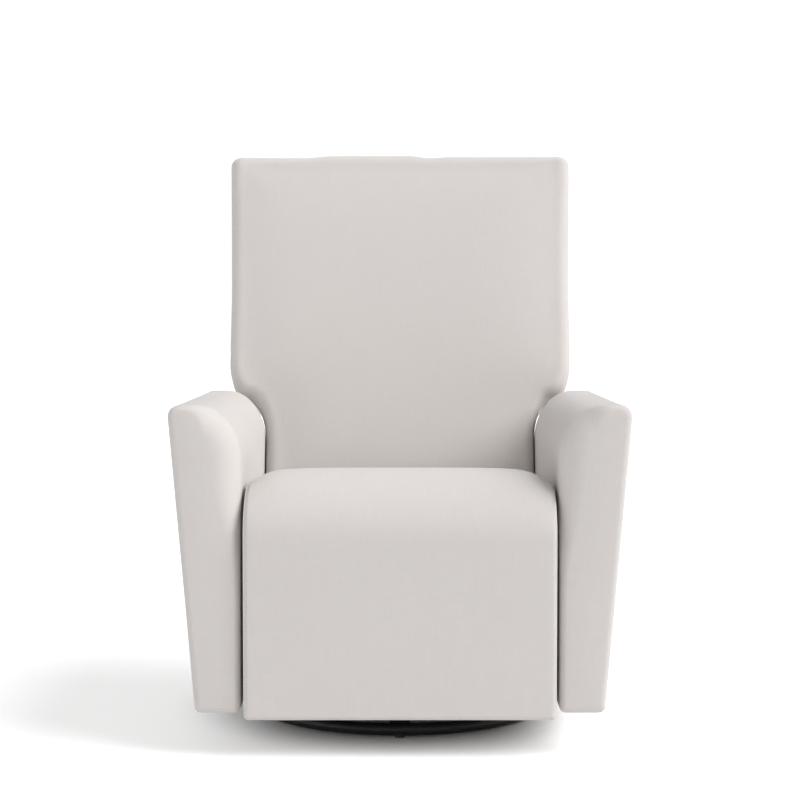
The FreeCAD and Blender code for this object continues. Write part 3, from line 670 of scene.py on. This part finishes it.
def weave_group() -> None:
    """Plain weave with slubs: threads that pass over and under each other.

    A thread's height is the root of the cosine across it, times a half plus half the cosine
    along it, which changes sign from thread to thread. The cloth's height is the higher of
    warp and weft. The outputs are Height, Slub and Shade.
    """
    book = group("Weave", [("Vector", "NodeSocketVector", None), ("Pitch", "NodeSocketFloat", THREAD_PITCH)],
                 ["Height", "Slub", "Shade"])
    ins, outs = book.add("NodeGroupInput").outputs, book.add("NodeGroupOutput")
    split = book.add("ShaderNodeSeparateXYZ", {0: ins["Vector"]})
    turns = book.math("DIVIDE", math.pi, ins["Pitch"])
    waves = [book.math("COSINE", book.math("MULTIPLY", split.outputs[axis], turns)) for axis in (0, 1)]
    heights = []
    for across, along, half in ((0, 1, 0.5), (1, 0, -0.5)):
        body = book.math("POWER", book.math("ABSOLUTE", waves[across]), 0.5)
        over = book.math("MULTIPLY", waves[along], book.math("SIGN", waves[across]))
        heights.append(book.math("MULTIPLY", body, book.math("MULTIPLY_ADD", over, half, 0.5)))
    streaks = [book.noise(book.stretched(ins["Vector"], scale), 1.0, WEAVE_DETAIL) for scale in SLUB_SCALES]
    book.feed(outs, {"Height": book.math("MAXIMUM", *heights),
                     "Slub": book.math("MULTIPLY", book.math("ADD", *streaks), 0.5),
                     "Shade": book.noise(ins["Vector"], SHADE_SCALE, WEAVE_DETAIL)})


def grime_group() -> None:
    """Soft Patches and fine Specks over a surface, both from 0 to 1, by Object coordinates."""
    book = group("Grime", [("Patch", "NodeSocketFloat", 8.0), ("Grain", "NodeSocketFloat", 900.0)],
                 ["Patches", "Specks"])
    ins, outs = book.add("NodeGroupInput").outputs, book.add("NodeGroupOutput")
    place = book.add("ShaderNodeTexCoord").outputs["Object"]
    book.feed(outs, {"Patches": book.noise(place, ins["Patch"], GRIME_DETAIL),
                     "Specks": book.noise(place, ins["Grain"], GRIME_DETAIL)})


@dataclass(frozen=True)
class Finish:
    """What every finish has: a name, a colour, a roughness and a shader to dress."""

    name: str
    colour: tuple[float, float, float]
    roughness: float

    def build(self) -> bpy.types.Material:
        """Make the material.

        Returns:
            The finished material.
        """
        material = bpy.data.materials.new(self.name)
        material.use_nodes = True
        book = NodeBook(material.node_tree)
        shader = material.node_tree.nodes["Principled BSDF"]
        book.feed(shader, {"Roughness": self.roughness})
        self.dress(book, shader)
        return material

    def dress(self, book: NodeBook, shader: bpy.types.Node) -> None:
        """Add the finish's own nodes. Each kind of finish has its own."""
        raise NotImplementedError

    def placed(self, book: NodeBook, name: str, inputs: dict | None = None) -> bpy.types.NodeOutputs:
        """Place one of the shared groups in the material and give its outputs."""
        return book.add("ShaderNodeGroup", inputs, node_tree=bpy.data.node_groups[name]).outputs

    def raised(self, book: NodeBook, shader: bpy.types.Node, height: Link, depth: float) -> None:
        """Feed a height to the shader's normal through a Bump node of a depth in metres."""
        bump = book.add("ShaderNodeBump", {"Strength": 1.0, "Distance": depth, "Height": height})
        book.feed(shader, {"Normal": bump.outputs["Normal"]})


@dataclass(frozen=True)
class Linen(Finish):
    """Off-white woven upholstery."""

    # hollow: the colour of the low places between threads, a painted shade rather than a second yarn colour
    hollow: tuple[float, float, float] = (0.50, 0.47, 0.45)
    depth: float = 0.0003
    slub_shade: float = 0.16
    slub_rise: float = 0.6
    soft_shade: float = 0.03
    sheen: float = 0.25
    sheen_spread: float = 0.45
    gloss: float = 0.25

    def dress(self, book: NodeBook, shader: bpy.types.Node) -> None:
        """Threads lighten the cloth where they stand up and the hollows between them are darkened with painted
        shade; slubs streak it both ways.
        """
        place = book.add("ShaderNodeUVMap", uv_map=UV_NAME)
        weave = self.placed(book, "Weave", {"Vector": place.outputs["UV"], "Pitch": THREAD_PITCH})
        # painted shade: the colour runs by weave height from the darker hollow colour in the low places to the
        # thread colour on the crests
        thread = book.blend(weave["Height"], self.hollow, self.colour)
        streak = book.math("MULTIPLY_ADD", weave["Slub"], self.slub_shade, 1 - self.slub_shade / 2)
        soft = book.math("MULTIPLY_ADD", weave["Shade"], self.soft_shade, 1 - self.soft_shade / 2)
        tone = book.math("MULTIPLY", streak, soft)
        scaled = book.add("ShaderNodeVectorMath", operation="SCALE")
        book.feed(scaled, {0: thread, "Scale": tone})
        book.feed(shader, {"Base Color": scaled.outputs[0], "Sheen Weight": self.sheen,
                           "Sheen Roughness": self.sheen_spread, "Specular IOR Level": self.gloss})
        height = book.math("MULTIPLY_ADD", weave["Slub"], self.slub_rise, weave["Height"])
        self.raised(book, shader, height, self.depth)


@dataclass(frozen=True)
class Thread(Finish):
    """Plied sewing thread."""

    dark_share: float = 0.8
    depth: float = 0.0002

    def dress(self, book: NodeBook, shader: bpy.types.Node) -> None:
        """A fine grain over a plain thread colour."""
        specks = self.placed(book, "Grime")["Specks"]
        darker = tuple(self.dark_share * c for c in self.colour)
        book.feed(shader, {"Base Color": book.blend(specks, darker, self.colour)})
        self.raised(book, shader, specks, self.depth)


@dataclass(frozen=True)
class Coat(Finish):
    """Powder-coated or moulded surface with an orange-peel grain."""

    worn: tuple[float, float, float]
    metal: float = 0.0
    grain: float = 900.0
    depth: float = 0.00004
    swing: float = 0.2

    def dress(self, book: NodeBook, shader: bpy.types.Node) -> None:
        """Patches shift the colour and gloss, and specks give the grain."""
        grime = self.placed(book, "Grime", {"Grain": self.grain})
        gloss = book.math("MULTIPLY_ADD", grime["Patches"], self.swing, self.roughness - self.swing / 2)
        book.feed(shader, {"Base Color": book.blend(grime["Patches"], self.colour, self.worn),
                           "Roughness": gloss, "Metallic": self.metal})
        self.raised(book, shader, grime["Specks"], self.depth)


@dataclass(frozen=True)
class FloorGlow(Finish):
    """A seamless studio floor: plain near the chair and lit from within farther off."""

    near: float = 0.26
    far: float = 0.44
    glow: float = 0.38
    grain: float = 300.0
    depth: float = 0.0001

    def dress(self, book: NodeBook, shader: bpy.types.Node) -> None:
        """The glow grows with the distance from the origin, between two radii."""
        place = book.add("ShaderNodeTexCoord").outputs["Object"]
        length = book.add("ShaderNodeVectorMath", {0: place}, operation="LENGTH").outputs["Value"]
        span = book.add("ShaderNodeMapRange", {0: length, 1: self.near, 2: self.far, 3: 0.0, 4: self.glow},
                        interpolation_type="SMOOTHSTEP").outputs[0]
        seen = book.math("MULTIPLY", span, book.add("ShaderNodeLightPath").outputs["Is Camera Ray"])
        book.feed(shader, {"Base Color": (*self.colour, 1), "Emission Color": (1, 1, 1, 1),
                           "Emission Strength": seen})
        self.raised(book, shader, book.noise(place, self.grain), self.depth)


@dataclass(frozen=True)
class Plywood(Finish):
    """Raw timber with long grain."""

    late: tuple[float, float, float] = (0.42, 0.27, 0.15)
    stretch: tuple[float, float, float] = (6.0, 160.0, 90.0)
    detail: float = 5.0
    depth: float = 0.0002

    def dress(self, book: NodeBook, shader: bpy.types.Node) -> None:
        """Noise drawn out along X, and somewhat along Z, makes the grain."""
        place = book.add("ShaderNodeTexCoord").outputs["Object"]
        grain = book.noise(book.stretched(place, self.stretch), 1.0, self.detail)
        book.feed(shader, {"Base Color": book.blend(grain, self.colour, self.late)})
        self.raised(book, shader, grain, self.depth)


class Slot(Enum):
    """The record's material slots."""

    FABRIC = "ivory_fabric"
    BLACK_STEEL = "black_steel"
    ZINC = "zinc_steel"
    SPRING = "spring_steel"
    PLYWOOD = "plywood"
    PLASTIC = "black_plastic"
    BUTTON = "button_plastic"
    NYLON = "nylon"


def finishes() -> dict[Slot, bpy.types.Material]:
    """Build each slot's material once.

    Returns:
        The material of each slot.
    """
    weave_group()
    grime_group()
    recipes = {
        Slot.FABRIC: Linen("ivory_linen", (0.70, 0.665, 0.645), 0.9),
        Slot.BLACK_STEEL: Coat("black_powder_coat", (0.012, 0.012, 0.013), 0.42, (0.022, 0.022, 0.024)),
        Slot.ZINC: Coat("bright_zinc", (0.62, 0.63, 0.64), 0.36, (0.45, 0.46, 0.48), 1.0),
        Slot.SPRING: Coat("oiled_spring_steel", (0.20, 0.21, 0.23), 0.45, (0.10, 0.10, 0.11), 1.0),
        Slot.PLYWOOD: Plywood("raw_plywood", (0.66, 0.50, 0.32), 0.7),
        Slot.PLASTIC: Coat("black_moulding", (0.018, 0.018, 0.019), 0.5, (0.028, 0.028, 0.03), 0.0, 1400.0),
        Slot.BUTTON: Coat("grey_button", (0.10, 0.10, 0.105), 0.4, (0.14, 0.14, 0.145), 0.0, 1600.0),
        Slot.NYLON: Coat("dark_nylon", (0.03, 0.03, 0.031), 0.55, (0.045, 0.045, 0.046), 0.0, 700.0),
    }
    return {slot: recipe.build() for slot, recipe in recipes.items()}


def wear(piece: bpy.types.Object, material: bpy.types.Material) -> None:
    """Give the piece one material."""
    piece.data.materials.clear()
    piece.data.materials.append(material)


# =========================================================================== the chair
LEAN = math.radians(17.0)            # of the back at rest
WELT_TURN = math.radians(55)         # how far round a rim a welt lies
THIN_WELT = 0.0012                   # radius of the welts on the back and the arms


@dataclass
class Workshop:
    """What every sub-assembly needs: the materials."""

    materials: dict[Slot, bpy.types.Material]
    thread: bpy.types.Material

    def linen(self, piece: bpy.types.Object) -> None:
        """Dress a piece in linen."""
        wear(piece, self.materials[Slot.FABRIC])

    def cover(self, piece: bpy.types.Object, fill: float, *nodes: str) -> None:
        """Dress a padded piece in linen and let it stand for its CAD nodes.

        Args:
            piece: the pad.
            fill: how tight it is stuffed; not used.
            nodes: the CAD nodes that it replaces.
        """
        self.linen(piece)
        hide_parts(*nodes)
        log.info("%s: %d faces", piece.name, len(piece.data.polygons))

    def sew(self, surface: Surface, name: str, stitched: bool = False) -> bpy.types.Object:
        """Make a seam or a row of stitches from a surface."""
        piece = surface.piece(name)
        self.linen(piece)
        if stitched:
            wear(piece, self.thread)
        return piece


@dataclass
class SeatPad:
    """The continuous pad: seat, waterfall bend and leg-rest front in one cover."""

    workshop: Workshop
    thick: float = 0.062
    side_gap: float = 0.0005
    rear_gap: float = 0.004
    foot_drop: float = 0.008
    edge: float = 0.010
    crown: float = 0.004
    shoulder: float = 0.016
    shoulder_from: float = 0.74
    rise: float = 0.008
    rise_run: float = 0.09
    lean_run: float = 0.10
    leg_extra: float = 0.18
    slope: float = math.radians(6.0)
    cell: float = 0.009
    welt: float = 0.0014
    welt_lift: float = 0.0002
    stitch_place: float = 0.35
    stitch_pitch: float = 0.0065
    stitch_length: float = 0.0045
    stitch_radius: float = 0.0006

    def __post_init__(self) -> None:
        """Read the seat's and leg rest's places from the frame."""
        seat_low, seat_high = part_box("seat_cushion")
        leg_low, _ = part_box("legrest_cushion")
        self.half = seat_high.x - self.side_gap
        self.front = seat_low.y
        self.rear = seat_high.y - self.rear_gap
        self.top = seat_high.z
        self.low = leg_low.z - self.foot_drop
        self.bend = seat_high.z - seat_low.z
        self.hub = (self.front + self.bend, self.top - self.bend)
        self.seat_run = (self.rear - self.hub[0]) / math.cos(self.slope) - self.bend * math.tan(self.slope)
        self.turn = math.pi / 2 + self.slope
        self.arc = self.bend * self.turn
        self.drop = (self.top - self.bend) - self.low
        self.run = self.seat_run + self.arc + self.drop

    def follow(self, points: Array) -> Array:
        """Carry a flat pad along the seat's path.

        The path comes forward up the seat's slope, over a bit more than a quarter turn, and
        down the front. A point's place is the path's point, less its depth times the normal.

        Args:
            points: (across, along, depth below the surface).

        Returns:
            Places in the frame.
        """
        across, along, depth = points.T
        turn = np.clip((along - self.seat_run) / self.bend, 0, self.turn) - self.slope
        down = np.clip(along - self.seat_run - self.arc, 0, None)
        back = np.clip(self.seat_run - along, 0, None)
        radius = self.bend - depth
        y = self.hub[0] - radius * np.sin(turn) + back * math.cos(self.slope)
        z = self.hub[1] + radius * np.cos(turn) - down - back * math.sin(self.slope)
        return np.column_stack([across, y, z])

    def shape(self, box: Array) -> Array:
        """Crown the box, soften the seat's sides, lean its rear and lay it on the path.

        The crown falls by the fourth power across the pad and the eighth along it. The rise
        before the bend is a bell curve along, and falls by the sixth power across. The
        seat's shoulders fall by the square from their start to the side.
        """
        half_run = self.run / 2
        across, along, depth = box[:, 0], box[:, 1] + half_run, self.thick / 2 - box[:, 2]
        u, v = np.clip(across / self.half, -1, 1), np.clip(2 * along / self.run - 1, -1, 1)
        face = smooth_step((self.thick - depth) / self.thick)
        on_leg = smooth_step((along - self.seat_run) / self.arc)
        past = np.clip((np.abs(u) - self.shoulder_from) / (1 - self.shoulder_from), 0, 1)
        shoulder = (1 - on_leg) * self.shoulder * past ** 2
        pillow = self.crown * (1 - u ** 4) * (1 - v ** 8)
        rise = self.rise * np.exp(-(((along - self.seat_run) / self.rise_run) ** 2)) * (1 - u ** 6)
        along = along + depth * math.tan(LEAN - self.slope) * (1 - smooth_step(along / self.lean_run))
        depth = depth * (1 + self.leg_extra * on_leg)
        depth = depth + face * (self.crown + shoulder - pillow - rise)
        return self.follow(np.column_stack([across, along, depth]))

    def build(self) -> None:
        """Make, relax and dress the pad and its side seams."""
        box = rounded_box((self.half, self.run / 2, self.thick / 2), self.edge, self.cell)
        pad = box.moved(self.shape).piece("seat_and_leg_pad")
        Stuffing(cap=0.004, keep=(0.05, 0.8, 0.8)).relax(pad)
        points, lift = points_of(pad), points_of(pad, "normal")
        self.workshop.cover(pad, 0.8, "seat_cushion", "legrest_cushion")
        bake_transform(pad)
        for side, name in ((-1, "left"), (1, "right")):
            for piece in self.side_seam(box, points, lift, side, name):
                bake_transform(piece)

    def side_seam(self, box: Surface, points: Array, lift: Array, side: int, name: str) -> list[bpy.types.Object]:
        """A welt and a row of stitches along one side of the pad's face.

        Args:
            box: the flat pad, whose points share their order with the shaped one.
            points: the shaped pad's points.
            lift: its normals.
            side: -1 for the left side, 1 for the right.
            name: the side's name.

        Returns:
            The welt and the stitches.
        """
        flat = self.half - self.edge
        straight = (box.points[:, 2] > 0) & (np.abs(box.points[:, 1]) < self.run / 2 - self.edge - SNAP / 10)

        def line_at(place: float) -> tuple[Array, Array]:
            """The row of points nearest to a distance across, and its normals."""
            gap = np.abs(side * box.points[:, 0] - place)
            near = straight & (gap <= gap[straight].min() + SNAP)
            order = np.argsort(box.points[near, 1])
            return points[near][order], lift[near][order]

        line, up = line_at(flat + self.edge * math.sin(WELT_TURN))
        welt = self.workshop.sew(tube(line + up * self.welt_lift, self.welt), f"pad_seam_{name}")
        line, up = line_at(flat + self.edge * self.stitch_place)
        row = stitches(line, self.stitch_pitch, self.stitch_length, self.stitch_radius, up)
        return [welt, self.workshop.sew(row, f"pad_stitches_{name}", True)]


@dataclass
class SeatCore:
    """The foam wedge under the seat's pad, behind the bend."""

    workshop: Workshop
    clear: float = 0.003
    under_bend: float = 0.03
    rear: float = 0.02
    side_gap: float = 0.006
    tall: float = 0.04
    edge: float = 0.008
    cell: float = 0.03

    def build(self, pad: SeatPad) -> None:
        """Make the wedge between the seat's springs and the pad that it carries."""
        low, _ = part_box("seat_cushion")
        front, bottom = pad.hub[0] - self.under_bend, low.z + self.clear
        half = (pad.half - self.side_gap, (self.rear - front) / 2, self.tall / 2)

        def place(points: Array) -> Array:
            """Stretch the block between the springs and the pad's underside."""
            x, y, z = points.T
            y = y + (front + self.rear) / 2
            fall = np.clip(y - pad.hub[0], 0, None) * math.tan(pad.slope)
            top = pad.top - fall - pad.thick / math.cos(pad.slope) - 2 * self.clear
            return np.column_stack([x, y, bottom + (z / self.tall + 0.5) * (top - bottom)])

        core = rounded_box(half, self.edge, self.cell, 3).moved(place).piece("seat_core")
        self.workshop.linen(core)
        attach(core, "chair")


@dataclass
class Back:
    """The reclining back: a T-shaped pad in front and its cover behind.

    Each top step is (start, run, rise) across the top edge, from left to right.
    """

    workshop: Workshop
    thick: float = 0.169
    front_depth: float = -0.0788
    low: float = 0.029
    joint: float = 0.231
    neck_drop: float = 0.105
    shoulder_run: float = 0.040
    shoulder_rise: float = 0.070
    top: float = 0.7555
    half: float = 0.3475
    waist: float = 0.2706
    top_radius: float = 0.022
    low_radius: float = 0.012
    rim: float = 0.026
    rear_rim_share: float = 0.8
    crown: float = 0.009
    cell: float = 0.008
    flare: float = 0.008
    flare_from: float = 0.45
    flare_run: float = 0.3
    flare_side: float = 0.3
    top_steps: Sequence[tuple] = ((-0.20, 0.06, 0.0045), (0.02, 0.04, -0.0045), (0.07, 0.03, 0.0022))
    top_sink: float = 0.0035
    top_zone: float = 0.06
    top_fade: float = 0.05

    def outline(self) -> Array:
        """The T shape: wide over the arms, narrow between them, with a gently stepped top."""
        neck = self.half - self.shoulder_run
        run, small, big = neck - self.waist, self.low_radius, self.top_radius
        shoulder = (self.shoulder_run, self.shoulder_rise)
        right = np.concatenate([
            arc((self.waist - small, self.low + small), (small, small), -90, 0),
            arc((neck, self.joint - self.neck_drop), (run, self.neck_drop), 180, 90),
            arc((neck, self.joint + self.shoulder_rise), shoulder, -90, 0),
            arc((self.half - big, self.top - big), (big, big), 0, 90)])
        line = even_steps(np.concatenate([right, right[::-1] * (-1, 1)]), self.cell)
        x, z = line.T
        high = smooth_step((z - self.top + self.top_zone) / self.top_fade)
        steps = sum(rise * smooth_step((x - start) / run) for start, run, rise in self.top_steps)
        outwards = np.sign(x) * (np.abs(x) > self.flare_side)
        flare = self.flare * np.clip((z - self.flare_from) / self.flare_run, 0, 1) * outwards
        return np.column_stack([x + flare, z + high * (steps - self.top_sink)])

    def upright(self, points: Array) -> Array:
        """From (across, up, depth) to the frame, leaned about the recline axis."""
        pivot = next(j["pos_m"] for j in frame["joints"] if j["name"] == "recline")
        across, up, depth = points.T
        y = pivot[1] + up * math.sin(LEAN) + depth * math.cos(LEAN)
        z = pivot[2] + up * math.cos(LEAN) - depth * math.sin(LEAN)
        return np.column_stack([across, y, z])

    def build(self) -> None:
        """Make the padded back and its seams."""
        outline = self.outline()
        rim = np.full(len(outline), self.rim)
        pad = OutlinePad(outline, self.thick - self.crown, rim, rim * self.rear_rim_share, self.crown,
                         0.0, self.cell)
        shift = np.array([0, 0, self.front_depth + self.crown])
        piece = pad.surface().moved(lambda p: self.upright(p + shift)).piece("padded_back")
        Stuffing(cap=0.006, keep=(0.05, 0.8, 0.4)).relax(piece)
        self.workshop.cover(piece, 0.75, "back_cushion", "back_cover")
        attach(piece, "back")
        self.seams(pad)

    def seams(self, pad: OutlinePad) -> None:
        """Welts round the side wall, over the recline axis, and round the rear face."""
        behind = pad.depth + self.front_depth + self.crown
        rings = {"middle": pad.ring(pad.front_rim, math.pi / 2, -self.rim, 1.0),
                 "rear": pad.ring(pad.rear_rim, WELT_TURN, behind, -1.0)}
        for name, ring in rings.items():
            welt = self.workshop.sew(tube(self.upright(ring), THIN_WELT, closed=True), f"back_seam_{name}")
            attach(welt, "back")


@dataclass
class Arm:
    """One padded arm: tapered outside, rolled over on the inside, soft at the front."""

    workshop: Workshop
    side: int
    name: str
    inner_run: float = 0.076
    inner_drop: float = 0.095
    curl: float = 0.55
    swell: float = 0.004
    taper: float = 0.044
    outer_top: float = 0.020
    outer_points: int = 12
    foot: float = 0.006
    foot_step: float = 0.0005
    rear_round: float = 0.050
    round_from: float = 0.3
    front_soft: float = 0.012
    inner_soft: float = 0.046
    rear_soft: float = 0.014
    soft_across: Sequence[float] = (0.03, 0.06)
    soft_up: Sequence[float] = (0.20, 0.24)
    crown: float = 0.003
    reach: float = 0.03
    cell: float = 0.008
    welt_turn: float = math.radians(50)
    panel_gap: float = 0.0015

    def outline(self) -> Array:
        """The arm seen from the front, at the right-hand side, as (across, up)."""
        low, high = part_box("arm_right")
        inner, outer, bottom, top = low.x, high.x + self.swell, low.z, high.z
        outer_low, straight = outer - self.taper, 1 - self.curl
        roll = bezier(np.array([[inner, top - self.inner_drop], [inner, top - self.inner_drop * straight],
                                [inner + self.inner_run * straight, top], [inner + self.inner_run, top]]))
        turn = np.linspace(math.pi / 2, 0, self.outer_points)
        edge = np.column_stack([outer - self.outer_top * (1 - np.cos(turn)),
                                top - self.outer_top * (1 - np.sin(turn))])
        foot = np.array([[outer_low + self.foot_step, bottom + self.foot], [outer_low - self.foot, bottom],
                         [inner + self.foot, bottom], [inner, bottom + self.foot]])
        return even_steps(np.concatenate([roll, edge, foot]), self.cell)

    def place(self, points: Array) -> Array:
        """From (across, up, depth) to the frame, with the rear top corner rounded off."""
        low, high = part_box("arm_right")
        across, up, depth = points.T
        y = low.y + depth
        past = np.clip((y - (high.y - self.rear_round)) / self.rear_round, 0, 1)
        fall = self.rear_round * (1 - np.sqrt(1 - past ** 2))
        share = smooth_step((up - self.round_from) / (high.z - self.round_from))
        return np.column_stack([self.side * across, y, up - fall * share])

    def front_rim(self, outline: Array) -> Array:
        """The front rim's radius round the outline: larger at the inner, upper edge.

        It grows over a start and a span, across from the inner side and up from the foot.
        """
        low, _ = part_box("arm_right")
        inner = 1 - smooth_step((outline[:, 0] - low.x - self.soft_across[0]) / self.soft_across[1])
        inner = inner * smooth_step((outline[:, 1] - low.z - self.soft_up[0]) / self.soft_up[1])
        return self.front_soft + (self.inner_soft - self.front_soft) * inner

    def build(self) -> None:
        """Make the arm and its rear welt, and leave room for the control panel on the left."""
        low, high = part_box("arm_right")
        outline = self.outline()
        rear = np.full(len(outline), self.rear_soft)
        pad = OutlinePad(outline, high.y - low.y - self.crown, self.front_rim(outline), rear, self.crown,
                         0.0, self.cell, reach=self.reach)
        shift = np.array([0.0, 0.0, self.crown])
        surface = outward(pad.surface().moved(lambda p: self.place(p + shift)))
        piece = surface.piece(f"arm_pad_{self.name}")
        Stuffing(cap=0.004, keep=(0.05, 0.6, 0.4)).relax(piece)
        if self.side < 0:
            hollow(piece, "control_panel", self.panel_gap)
        self.workshop.cover(piece, 0.8, f"arm_{self.name}")
        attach(piece, "chair")
        line = self.place(pad.ring(rear, self.welt_turn, pad.depth, -1.0) + shift)
        welt = self.workshop.sew(tube(line, THIN_WELT, closed=True), f"arm_seam_{self.name}")
        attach(welt, "chair")


def hollow(piece: bpy.types.Object, node: str, gap: float, opening: float = 0.012) -> None:
    """Cut the room for a CAD node out of a piece, open sideways and larger than its hull.

    Args:
        piece: the piece to cut.
        node: the CAD node that sits in it.
        gap: the play round the node.
        opening: how far the room reaches out past the node, away from the chair's middle.
    """
    corners = points_of(frame["nodes"][node])
    outside = corners + np.array([math.copysign(opening, corners[:, 0].mean()), 0, 0])
    room = bpy.data.objects.new("room", bpy.data.meshes.new("room"))
    room.data.from_pydata(np.concatenate([corners, outside]).tolist(), [], [])
    shell = bmesh.new()
    shell.from_mesh(room.data)
    hull = bmesh.ops.convex_hull(shell, input=shell.verts)
    spare = {item for item in hull["geom_interior"] + hull["geom_unused"] if isinstance(item, bmesh.types.BMVert)}
    bmesh.ops.delete(shell, geom=list(spare), context="VERTS")
    bmesh.ops.recalc_face_normals(shell, faces=shell.faces)
    shell.to_mesh(room.data)
    shell.free()
    spots = points_of(room)
    middle = (spots.max(0) + spots.min(0)) / 2
    put_points(room, middle + (spots - middle) * (1 + 2 * gap / np.ptp(spots, axis=0)))
    bpy.context.scene.collection.objects.link(room)
    room.matrix_world = frame["nodes"][node].matrix_world
    cut = piece.modifiers.new("Room", "BOOLEAN")
    cut.operation, cut.object, cut.solver = "DIFFERENCE", room, "EXACT"
    shaped = piece.evaluated_get(bpy.context.evaluated_depsgraph_get())
    done = bpy.data.meshes.new_from_object(shaped)
    piece.modifiers.clear()
    piece.data = done
    bpy.data.objects.remove(room)


@dataclass
class RearPanel:
    """The upholstered board across the rear, below the back."""

    workshop: Workshop
    edge: float = 0.005
    cell: float = 0.02

    def build(self) -> None:
        """Make the padded skin that stands for the board."""
        low, high = (np.array(corner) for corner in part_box("rear_panel"))
        skin = rounded_box((high - low) / 2, self.edge, self.cell, 3).moved(lambda p: p + (high + low) / 2)
        piece = skin.piece("rear_skin")
        self.workshop.cover(piece, 0.9, "rear_panel")
        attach(piece, "chair")


@dataclass
class Gusset:
    """The loose cloth that closes the gap between the rear panel and the back."""

    workshop: Workshop
    half_thick: float = 0.0015
    edge: float = 0.00135
    cell: float = 0.006
    lap: float = 0.012
    rise: float = 0.034
    side_gap: float = 0.009
    pleat: float = 0.0015
    pleats: float = 9.0

    def build(self) -> None:
        """Hang the cloth between the panel's top and the back's lower edge.

        The cloth waves to and fro by a sine across the chair, most at half its height.
        """
        low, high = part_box("rear_panel")
        bottom, top = high.z - self.lap, high.z + self.rise
        half = (high.x - self.side_gap, self.half_thick, (top - bottom) / 2)
        centre = np.array([0.0, low.y - 2 * self.half_thick, (top + bottom) / 2])

        def wave(points: Array) -> Array:
            """Place the cloth and give it its pleats."""
            slack = np.cos(points[:, 2] / half[2] * math.pi / 2)
            moved = points + centre
            moved[:, 1] += self.pleat * slack * np.sin(points[:, 0] / half[0] * math.pi * self.pleats)
            return moved

        cloth = rounded_box(half, self.edge, self.cell, 2).moved(wave).piece("rear_gusset")
        self.workshop.linen(cloth)
        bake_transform(cloth)


# ============================================================================= studio
SUNS = (("key", (0.70, -0.20, 0.68), 3.1, 45.0), ("fill", (-0.75, -0.40, 0.35), 0.7, 60.0))


@dataclass
class Studio:
    """Floor, lights and camera. The sky is brighter to the eye than as a light."""

    distance: float = 2.925
    height: float = 0.76
    pitch: float = math.radians(2.9)
    lens_mm: float = 78.3
    sensor_mm: float = 36.0
    floor_half: float = 30.0
    floor_lines: int = 5
    sky_seen: float = 1.05
    sky_light: float = 0.40

    def build(self) -> None:
        """Lay the floor, hang the lights and stand the camera."""
        scene = bpy.context.scene
        scene.view_settings.view_transform = "Standard"
        scene.view_settings.look = "None"
        self.floor()
        self.sky()
        for lamp in SUNS:
            self.sun(*lamp)
        self.camera()

    def floor(self) -> None:
        """A wide, pale floor with a faint grain."""
        side = np.linspace(-self.floor_half, self.floor_half, self.floor_lines)
        x, y = np.meshgrid(side, side, indexing="ij")
        points = np.column_stack([x.ravel(), y.ravel(), np.zeros(x.size)])
        quads = grid_quads(self.floor_lines, self.floor_lines, False)[:, ::-1]
        ground = Surface(points, quads, points[quads][:, :, :2]).piece("floor", False)
        wear(ground, FloorGlow("pale_floor", (0.92, 0.92, 0.92), 0.9).build())

    def sky(self) -> None:
        """White for the eye, softer as a light."""
        world = bpy.data.worlds.new("studio")
        world.use_nodes = True
        book = NodeBook(world.node_tree)
        seen = book.add("ShaderNodeLightPath").outputs["Is Camera Ray"]
        strength = book.math("MULTIPLY_ADD", seen, self.sky_seen - self.sky_light, self.sky_light)
        book.feed(world.node_tree.nodes["Background"], {"Color": (1, 1, 1, 1), "Strength": strength})
        bpy.context.scene.world = world

    def sun(self, name: str, towards: Sequence[float], strength: float, spread: float) -> None:
        """Hang a soft, distant light.

        Args:
            name: the lamp's name.
            towards: the direction in which it lies.
            strength: its irradiance.
            spread: the angle that it fills, in degrees.
        """
        data = bpy.data.lights.new(name, "SUN")
        data.energy, data.angle = strength, math.radians(spread)
        lamp = bpy.data.objects.new(name, data)
        lamp.rotation_euler = (-Vector(towards)).to_track_quat("-Z", "Y").to_euler()
        bpy.context.scene.collection.objects.link(lamp)

    def camera(self) -> None:
        """A long lens in front of the chair, a little above the arms."""
        data = bpy.data.cameras.new("camera")
        data.sensor_width, data.lens = self.sensor_mm, self.lens_mm
        eye = bpy.data.objects.new("camera", data)
        arm_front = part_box("arm_right")[0].y
        eye.location = (0.0, arm_front - self.distance, self.height)
        eye.rotation_euler = (math.pi / 2 - self.pitch, 0.0, 0.0)
        bpy.context.scene.collection.objects.link(eye)
        bpy.context.scene.camera = eye


def dress_frame(materials: dict[Slot, bpy.types.Material]) -> None:
    """Give every carried-over CAD node the material of its slot."""
    slots = {row["node"]: Slot(row["material_slot"]) for row in frame["record"]["subparts"]}
    for node, piece in frame["nodes"].items():
        for place in piece.material_slots:
            place.material = materials[slots[node]]


def main() -> None:
    """Build the chair, its finishes and the studio."""
    logging.basicConfig(level=logging.INFO, format="%(name)s: %(message)s")
    materials = finishes()
    workshop = Workshop(materials, Thread("taupe_thread", (0.30, 0.28, 0.26), 0.7).build())
    dress_frame(materials)
    seat = SeatPad(workshop)
    seat.build()
    SeatCore(workshop).build(seat)
    Back(workshop).build()
    for side, name in ((1, "right"), (-1, "left")):
        Arm(workshop, side, name).build()
    RearPanel(workshop).build()
    Gusset(workshop).build()
    Studio().build()


if __name__ == "__main__":
    main()
